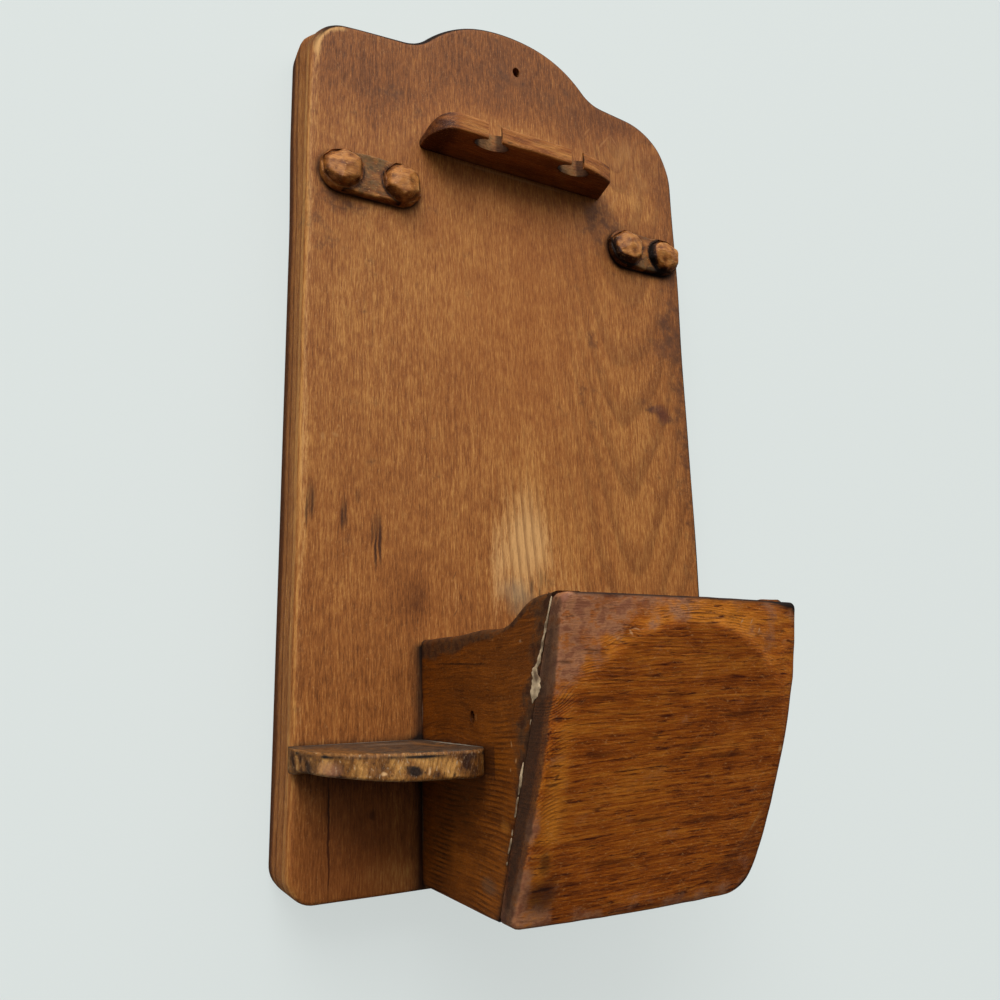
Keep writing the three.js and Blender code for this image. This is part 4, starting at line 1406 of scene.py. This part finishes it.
    def build_bottom(self) -> bpy.types.Object:
        """Make the bottom, let in between the sides."""
        top, front = self.foot + self.bottom_thickness, self.side_edge(self.foot) + 0.2
        x0, x1 = self.left + self.side_thickness, self.right - self.side_thickness
        outline = even(np.array([[x0, front], [x1, front], [x1, 0], [x0, 0]]), 1.2)
        rows = Slab(outline, ((x0 + 24, -24), (x1 - 24, -24)), top, self.foot, 0.25, 0.3,
                    14, 5, 14).rows()
        lean = ease(-rows[..., 1], 40, self.depth_at_foot)
        rows[..., 1] -= lean * math.tan(self.lean) * (rows[..., 2] - self.foot)
        return put_down("box_floor", [rows], 45)

    def build_filler(self) -> bpy.types.Object:
        """Make the old filler: a broken bead in the joint of the left side and the front plank.

        It is an oval section carried down the joint, r cos t along the face and
        (0.1 + 0.16 r) sin t out of it, where r follows FILLER_WIDTHS and is ragged.
        """
        z = np.linspace(9, 77.4, 260)
        y = self.side_edge(z) + 0.1
        line = np.stack([np.zeros_like(z), y, z], axis=1)
        ragged = sways(line, 3.4, 52) + 0.7 * sways(line, 1.3, 54)
        r = np.maximum(np.interp(z, *FILLER_WIDTHS) * (1 + 0.3 * ragged), 0.04)[:, None]
        shift = np.interp(z, *FILLER_PLACES) * (1 + 0.3 * sways(line, 4.1, 53))
        t = np.linspace(0, TAU, 16, endpoint=False)
        y = (y + shift)[:, None] + r * np.cos(t) * math.cos(self.lean)
        height = z[:, None] + r * np.cos(t) * math.sin(self.lean)
        # where there is none left, it lies behind the face
        x = self.left - 0.02 + 0.4 * ease(r, 0.14, 0.07)
        x = x + (0.1 + 0.16 * np.minimum(r, 1.2)) * np.sin(t)
        return put_down("joint_filler", [np.stack([x, y, height], axis=-1)], 60)

    def top_at(self, y: np.ndarray) -> np.ndarray:
        """The height of a side panel's top edge at y, found along side_profile()."""
        line = self.side_profile()[1:52]
        return np.interp(-y, -line[:, 0], line[:, 1])

    def paint_side(self, piece: bpy.types.Object, out: float) -> None:
        """Dress a side panel, whose wood runs from the board to the front.

        The rings are nearly level: z + a wave of 1.5 mm + 0.2 (x - out).

        Args:
            piece: the panel.
            out: the x of its outer face.
        """
        p = places(piece)
        x, y, z = p.T
        wave = 1.5 * sways(p * [1, 0.7, 1], 30, 61) * (0.4 + 0.6 * ease(z, 20, 50))
        tone = 0.22 * bell(z, 12, 12) * bell(y, -42, 12) + 0.2 * bell(y, -52, 9) * bell(z, 40, 18)
        joint = y - self.side_edge(z)
        below_top = self.top_at(y) - z
        outside = np.abs(x - out) < 1.2
        # dirt and painted shade against the board, in the joint with the front, along the foot and
        # beside the shelf
        grime = 0.8 * near(-y, 1.4) + 0.5 * near(joint, 1.0) + 0.35 * near(z - self.foot, 1.5)
        grime += 0.5 * near(np.abs(z - SHELF_MIDDLE) - SHELF_THICK / 2, 1.0) * outside * (y > -47.6)
        wear = 0.3 * near(np.abs(below_top - 0.8), 0.6) * ease(-y, 30, 60)
        wear += 0.35 * near(np.abs(z - self.foot - 0.3), 0.4) * outside
        # milky with painted sheen and darker along the back of the top edge, and dull beside the
        # joint
        depth = (7.0 + 2.0 * sways(p * [0, 1, 0], 17, 64)) * (1 - 0.7 * ease(-y, 26, 46))
        edge = ease(below_top, depth + 0.8, 0.55 * depth) * outside
        bloom = 0.9 * edge + 0.8 * near(joint - 1.5, 4.2) * outside * ease(z, 30, 48)
        dress(piece, SIDE_PINE, grain=np.stack([z + 0.6 * wave, x, -y], axis=1), grime=grime,
              rings=z + wave + 0.2 * (x - out), tone=tone - 0.25 * edge, wear=wear,
              bloom=bloom + 0.4 * near(joint, 2.2) * outside,
              figure=(0.6 + 0.6 * sways(p, 19, 62)) * (0.3 + 0.7 * ease(z, 56, 40)))

    def paint_front(self, piece: bpy.types.Object) -> None:
        """Dress the front plank, whose wood runs across it.

        The rings follow v, the height on the leaning face, as v - 0.03 x + a wave, and bend up
        by 0.035 (9 - distance to the left end)^2 at the left end.
        """
        p = places(piece)
        x, y, z = p.T
        v = (z - self.field_z) / math.cos(self.lean)
        d, face = self.sunk(x, z)
        deep = np.clip(y - face, -1, 9)
        from_left = x - self.left
        wave = 0.7 * sways(p * [0.25, 0.1, 0.8], 40, 71) + 0.12 * sways(p * [0.4, 0.2, 1], 14, 72)
        rings = v - 0.03 * x + 1.4 * wave + 0.035 * np.maximum(9 - from_left, 0) ** 2 + 1.6 * d
        comb = 0.5 + 0.9 * sways(p * [0.4, 0.1, 1], 9, 75)
        figure = 0.5 + 0.6 * comb * ease(from_left, 6.2, 4.2) * ease(z, 62, 50) * ease(z, 8, 24)
        # the round field's rim cuts the year rings, which show there as wavy fingers
        cut = bell(d, 0.55, 0.5) * ease(z, 46, 58) * ease(x, 30, -4)
        rings += 0.5 * np.minimum(d, 1.5) + 1.3 * sways(p * [0.6, 0, 1], 8, 76) * cut
        figure += 1.2 * cut * (0.8 + 0.8 * sways(p, 11, 77))
        on_bevel = ease(d, 0.03, 0.4)
        top = on_bevel * ease(z, 46, 68)
        low_right = ease(x + 0.5 * z, 22, 38) * ease(z, 60, 40)
        end = ease(deep, 1.8, 3.4) * ease(from_left, 1.2, 0.4)
        # painted shade on the bevel at the lower right, where it faces down, and a painted lighter
        # sheen on the top bevel, where it faces up
        tone = laid(p, (-70, 20), FRONT_TONES) - 0.35 * low_right * on_bevel - 0.3 * end
        tone += 0.55 * top * bell(x, 6, 17) + 0.2 * on_bevel * ease(x, 20, 34)
        tone += 0.4 * bell(from_left, 4.8, 2.2) * ease(z, 64, 52)
        tone += 0.3 * cut * (0.6 + 0.9 * sways(p, 6, 78))
        # milky bloom with painted sheen on the top bevel, the left arris, the lower left corner and
        # the foot
        arris = ease(from_left, 4.2, 1.2) * (1 - end) * (ease(z, 38, 24) + ease(z, 56, 64))
        bloom = top * (0.42 * ease(x, 10, -24) + 0.22 + 0.25 * ease(x, -28, -36))
        bloom += 0.5 * arris + 0.55 * ease(z, 16, 6) * ease(x, -24, -31)
        bloom += 0.3 * ease(z, 8, 3) + 0.1 * on_bevel * ease(x, 22, 32) * ease(z, 70, 30)
        bloom *= 1 - 0.6 * cut * (0.6 + 0.8 * sways(p, 5, 79))
        figure *= 1 - 0.6 * np.clip(bloom / 0.6, 0, 1)
        # darker along the rim, with painted shade at the top right corner, darker on the plank's
        # end, and a thin line where the field begins
        gap = to_outline(x, z, self.front_outline())
        grime = near(gap - 0.35, 0.75) * ease(from_left, 1.0, 4.0) * (
            0.75 * ease(z, 74, 77) + 0.6 * ease(x, 30, 35) + 0.4 * ease(z, 12, 5))
        grime += 0.42 * end + 0.55 * ease(x, 24, 33) * ease(z, 73.5, 76.5)
        grime += 0.12 * bell(d, 0.06, 0.08)
        dress(piece, FRONT_PINE, grain=np.stack([v - 0.03 * x + wave, deep, x], axis=1),
              rings=rings, tone=tone, grime=grime, bloom=bloom, figure=figure,
              wear=bell(d, 0.12, 0.12) * (0.3 * ease(z, 40, 66) + 0.35 * low_right))

    def paint_bottom(self, piece: bpy.types.Object) -> None:
        """Dress the bottom, whose wood runs across the box."""
        p = places(piece)
        x, y, z = p.T
        side = np.minimum(x - self.left, self.right - x) - self.side_thickness
        # darker against the board and the sides, from dirt and painted shade
        dress(piece, SIDE_PINE, grain=np.stack([y, z, x], axis=1),
              rings=np.hypot(y + 20, z + 30) + 0.6 * sways(p * [0.3, 1, 1], 14, 81),
              grime=0.6 * near(-y, 3) + 0.5 * near(side, 2.5))


# ----------------------------------------------------------------------------------- the shelves

SHELF_PINE = OldPine(
    "worn_pine_shelves", base="#8a5824", dark="#3a1e0a", pale="#c8904a", bare="#b59a78",
    grime="#160d08", bloom="#524132", stain="#3c2e24", ring_gap=1.3, ring_depth=0.3, streak=0.8,
    fibre=1.4, dash=0.4, glints=0.8, scratch=0.1, ior=1.38, roughness=0.5, bump=3.0, marks=(
        # dust lines in the joints on top, and a dusty place
        *marks("#a39a88", (-56, -.9, SHELF_TOP, 22, .8, .9, .75),
               (-37.6, -24, SHELF_TOP, .8, 24, .9, .75), soft=.8, face=Face.LEVEL),
        # gouges, flecks and stains of the edge
        *marks("#1c0f08", (-58.5, -44.5, 38.6, 3.4, 2, .9, .8, 8),
               (-52.5, -46.8, 36.4, 1, 2, .6, .75), (-42.5, -47.4, 36.6, 1.2, 2, .8, .75)),
        *marks("#8c7a66", (-50, -12, SHELF_TOP, 14, 6, .6, .4, 20), face=Face.LEVEL),
        *marks("#1a0d06", (-57, -45, 37.6, 2.6, 3, 1.6, .95, 10), soft=.5),
        *marks("#2b1a0f", (-68.5, -40.5, 38, 1.6, 3, 1.2, .7)),
        *marks("#e8b880", (-63.5, -42, 37.2, .9, 3, .8, .9), (-53.6, -46.5, 37.6, .6, 2, 1.5, .9),
               soft=.5),
        *marks("#e2b078", (-49, -47, 37.4, .5, 2, .6, .6)),
        *marks("#c98f60", (-71, -37, 36.8, 1, 3, .6, .6)),
        *marks("#2b1a0f", (-39.5, -46.8, 38.5, 1.6, 2, 4.5, .6)),
        *marks("#21120a", (-60.5, -45.2, 38, 2.6, 2, 1.1, .75)),
        *marks("#38261a", (-66, -42.5, 40.5, 4, 3, .8, .6)),
        *marks("#21120a", (-44, -47.4, 39.8, 1.4, 2, .8, .6)),
        *marks("#2b190d", (-52, -47.4, 39.3, 2.2, 2, .5, .5)),
        *marks("#a9745a", (-74, -30, 38, 4, 8, 3, .45)),
        *marks("#21120a", (-47.5, -47, 36.6, .8, 2, .8, .8), (-62, -44, 36.4, 1.2, 2, .7, .7)),
        *marks("#e2b078", (-70, -38, 39.2, .8, 3, .5, .6), (-66.5, -42, 37.6, .6, 3, .6, .6))))


@dataclass
class CornerShelf:
    """A small shelf in the corner of the board and the box, round at its outer front corner."""
    name: str
    node: str
    side: int
    inner: float
    seed: int
    outer: float = 76.8
    top: float = SHELF_TOP
    thick: float = SHELF_THICK
    depth: float = 46.3
    wide: float = 31.0
    small: float = 6.5

    def build(self) -> None:
        """Make the shelf, whose plan carries a profile with rubbed arrises, and dress it."""
        wide, small = self.wide, self.small
        outline = even(np.concatenate([
            [[self.inner, 0], [self.inner, small - self.depth]],
            arc(self.inner + small, small - self.depth, small, 180, 270, 14),
            arc(self.outer - wide, wide - self.depth, wide, -90, 0, 60), [[self.outer, 0]]]), 0.8)
        if self.side < 0:
            outline = (outline * [-1, 1])[::-1]
        free = ease(-outline[:, 1], 0.5, 3) * ease(np.abs(outline[:, 0]) - self.inner, 0.1, 2)
        arris = 0.25 + free * (0.95 + 0.3 * sways(np.insert(outline, 2, 0, axis=1), 12, self.seed))
        middle = self.side * (self.inner + self.outer - 6) / 2
        rows = Slab(outline, ((middle, -8), (middle, -24)), self.top, self.top - self.thick,
                    arris, 1.0, 22, 9, 12).rows()
        x, y, z = axes(rows)
        # thinned from below towards its outer end, and rounder there
        end = ease(np.abs(x), self.outer - 22, self.outer) * ease(-y, 2, 14)
        z += 1.5 * end * ease(z, self.top - 1, self.top - self.thick)
        loose = ease(-y, 0.5, 5) * ease(np.abs(x) - self.inner, 0, 5)
        for way, size, wave, seed in ((z, 0.22, 24, 1), (x, 0.2, 9, 2), (y, 0.2, 9, 3)):
            way += size * sways(rows, wave, self.seed + seed) * loose
        piece = put_down(self.name, [rows], 42)
        self.paint(piece)
        stand_in(piece, self.node)

    def paint(self, piece: bpy.types.Object) -> None:
        """Dress the shelf, whose wood runs from the board outwards, so its edge shows end grain."""
        p = places(piece)
        x, y, z = p.T
        below, above = self.top - z, z - self.top + self.thick
        on_edge = ease(below, 0.5, 1.4) * ease(above, 0.5, 1.4)
        top, under = ease(below, 0.5, 0), ease(above, 0.4, 0)
        patchy = sways(p, 7, self.seed + 6) + 0.5 * sways(p, 2.6, self.seed + 7)
        # dirt and painted shade against the board and the box
        grime = 0.6 * near(-y, 2.2) + 0.55 * near(np.abs(x) - self.inner, 1.4) + 0.12 * top
        # the edge paler, partly painted light; the underside painted in shade; milky bloom with
        # painted sheen on the top
        dress(piece, SHELF_PINE, grain=np.stack([np.abs(x), 0.35 * z, -y], axis=1),
              rings=np.abs(x) + 0.3 * z + 0.5 * sways(p * [1, 1, 0.4], 12, self.seed + 5),
              tone=0.4 * on_edge * (0.1 + 1.1 * patchy) - 0.3 * top - 0.4 * under,
              grime=grime + (0.4 + 0.4 * patchy) * bell(below, 1.3, 0.5) * ease(-y, 3, 8),
              wear=0.25 * bell(below, 0.5, 0.3) * ease(-y, 1, 4),
              bloom=top + 0.15 * on_edge * ease(np.abs(x), 69, 75))


# -------------------------------------------------------------------------------- the photo stand

@dataclass
class Studio:
    """A plain pale wall and floor, a soft lamp, and the camera below and left of the holder.

    Sizes are in metres. The wall has an opening behind the board, a little smaller than the
    board, so that the back of the board also gets light when it is looked at from behind.
    """
    pale: str = "#dfe6e4"
    camera_at: tuple[float, float, float] = (-0.1387173, -0.2659349, -0.0923885)
    camera_turn: tuple[float, float, float] = (102.2075739, 1.2965571, -27.8785749)
    lens: float = 30.51516
    bright_side: tuple[float, float, float] = (0.0, -0.35, 0.94)
    own_glow: float = 0.75
    wall: tuple[float, float, float, float] = (-2.5, 2.5, -0.6, 2.4)
    floor: tuple[float, float, float, float] = (-4.0, 4.0, -4.0, 4.0)
    wall_y: float = 0.0006
    floor_z: float = -0.6
    opening: tuple[tuple[float, float], ...] = (
        (0, -0.1475), (0.0735, -0.1475), (0.0735, 0.104), (0.068, 0.115), (0.058, 0.122),
        (0.040, 0.1265), (0.030, 0.134), (0.017, 0.1425), (0, 0.1465))
    lamp_at: tuple[float, float, float] = (-0.9, -1.7, 1.8)
    lamp_size: float = 1.6
    lamp_watts: float = 48.0

    def plain(self, name: str, one_sided: bool) -> bpy.types.Material:
        """A matt pale paint, whose shadows are softened where the camera sees it.

        Args:
            name: the material's name.
            one_sided: whether the back of the sheet lets the eye through, so that the holder
                can also be looked at from behind the wall.
        Returns:
            The material.
        """
        material = bpy.data.materials.new(name)
        tree = cleared(material)
        rays = add(tree, "LightPath").outputs
        paint = add(tree, "BsdfDiffuse", {"Color": linear(self.pale)})
        glow = add(tree, "Emission", {"Color": linear(self.pale), "Strength": 1.0})
        share = add(tree, "Math", {0: rays["Is Camera Ray"], 1: self.own_glow},
                    operation="MULTIPLY")
        last = add(tree, "MixShader", {0: share, 1: paint, 2: glow})
        dim = add(tree, "BsdfDiffuse", {"Color": linear("#4a4540")})
        last = add(tree, "MixShader", {0: rays["Is Glossy Ray"], 1: last, 2: dim})
        if one_sided:
            behind = add(tree, "NewGeometry").outputs["Backfacing"]
            last = add(tree, "MixShader", {0: behind, 1: last, 2: add(tree, "BsdfTransparent")})
        add(tree, "OutputMaterial", {0: last})
        return material

    def sheet(self, name: str, corners: list[tuple[float, float, float]], faces: list[range],
              material: bpy.types.Material) -> bpy.types.Object:
        """One flat sheet of the stand.

        Args:
            name: its name.
            corners: its corners.
            faces: the corners of each of its faces.
            material: its paint.
        Returns:
            The object.
        """
        mesh = bpy.data.meshes.new(name)
        mesh.from_pydata(corners, [], [tuple(face) for face in faces])
        mesh.materials.append(material)
        made = bpy.data.objects.new(name, mesh)
        bpy.context.scene.collection.objects.link(made)
        return made

    def sky(self) -> None:
        """The room's light: bright from above and the front, dark from below, and plain pale
        where the camera sees it."""
        world = bpy.data.worlds.new("plain_room")
        bpy.context.scene.world = world
        tree = cleared(world)
        way = add(tree, "TexCoord").outputs["Generated"]
        bright = add(tree, "VectorMath", {0: way, 1: self.bright_side},
                     operation="DOT_PRODUCT").outputs["Value"]
        level = add(tree, "MapRange", {"Value": bright, "From Min": 0.0, "From Max": 0.95,
                    "To Min": 0.08, "To Max": 1.2}, interpolation_type="SMOOTHSTEP")
        room = add(tree, "Background", {"Color": linear("#fbfaf7"), "Strength": level})
        seen = add(tree, "Background", {"Color": linear(self.pale), "Strength": 1.0})
        eye = add(tree, "LightPath").outputs["Is Camera Ray"]
        add(tree, "OutputWorld", {0: add(tree, "MixShader", {0: eye, 1: room, 2: seen})})

    def build(self) -> None:
        """Set up the wall, the floor, the lamp, the room's light and the camera."""
        scene = bpy.context.scene
        # two sheets of wall meet below and above the opening
        left, right, low, high = self.wall
        east = [(0, low), (right, low), (right, high), (0, high), *self.opening[::-1]]
        west = [*((-a, b) for a, b in self.opening), (0, high), (left, high), (left, low), (0, low)]
        half, all_of = len(east), len(east) + len(west)
        self.sheet("stage_wall", [(a, self.wall_y, b) for a, b in east + west],
                   [range(half), range(half, all_of)], self.plain("matt_wall_paint", True))
        left, right, near_y, far_y = self.floor
        floor = self.sheet("stage_floor", [
            (a, b, self.floor_z) for a, b in ((left, near_y), (right, near_y), (right, far_y),
                                              (left, far_y))],
            [range(4)], self.plain("matt_floor_paint", False))
        floor.visible_diffuse = floor.visible_glossy = False

        light = bpy.data.lights.new("key_upper_left", "AREA")
        light.shape, light.size, light.energy = "SQUARE", self.lamp_size, self.lamp_watts
        lamp = bpy.data.objects.new("key_upper_left", light)
        lamp.location = self.lamp_at
        # it looks at the origin
        way = -np.array(self.lamp_at) / np.linalg.norm(self.lamp_at)
        lamp.rotation_euler = (math.acos(-way[2]), 0.0, math.atan2(-way[0], way[1]))
        self.sky()

        scene.view_settings.view_transform = "Standard"
        camera = bpy.data.objects.new("camera_low_left", bpy.data.cameras.new("camera_low_left"))
        camera.data.lens, camera.data.sensor_width = self.lens, 36.0
        camera.data.clip_start = 0.01
        camera.location = self.camera_at
        camera.rotation_euler = tuple(math.radians(a) for a in self.camera_turn)
        for made in (lamp, camera):
            scene.collection.objects.link(made)
        scene.camera = camera
        log.info("studio: wall, floor, lamp, room light and camera")


def main() -> None:
    """Build the pieces in order, then the stand."""
    logging.basicConfig(level=logging.INFO, format="%(name)s: %(message)s")
    for part in (
            Backboard(), NotchedRail(),
            KnobBlock("whittled_knobs_left", "left_knob_block", LEFT_BLOCK, 31, 0.08),
            KnobBlock("whittled_knobs_right", "right_knob_block", RIGHT_BLOCK, 131, 1.1),
            NoteBox(), CornerShelf("corner_shelf_left", "left_shelf", -1, -BOX_LEFT, 91),
            CornerShelf("corner_shelf_right", "right_shelf", 1, BOX_RIGHT, 191), Studio()):
        part.build()


if __name__ == "__main__":
    main()
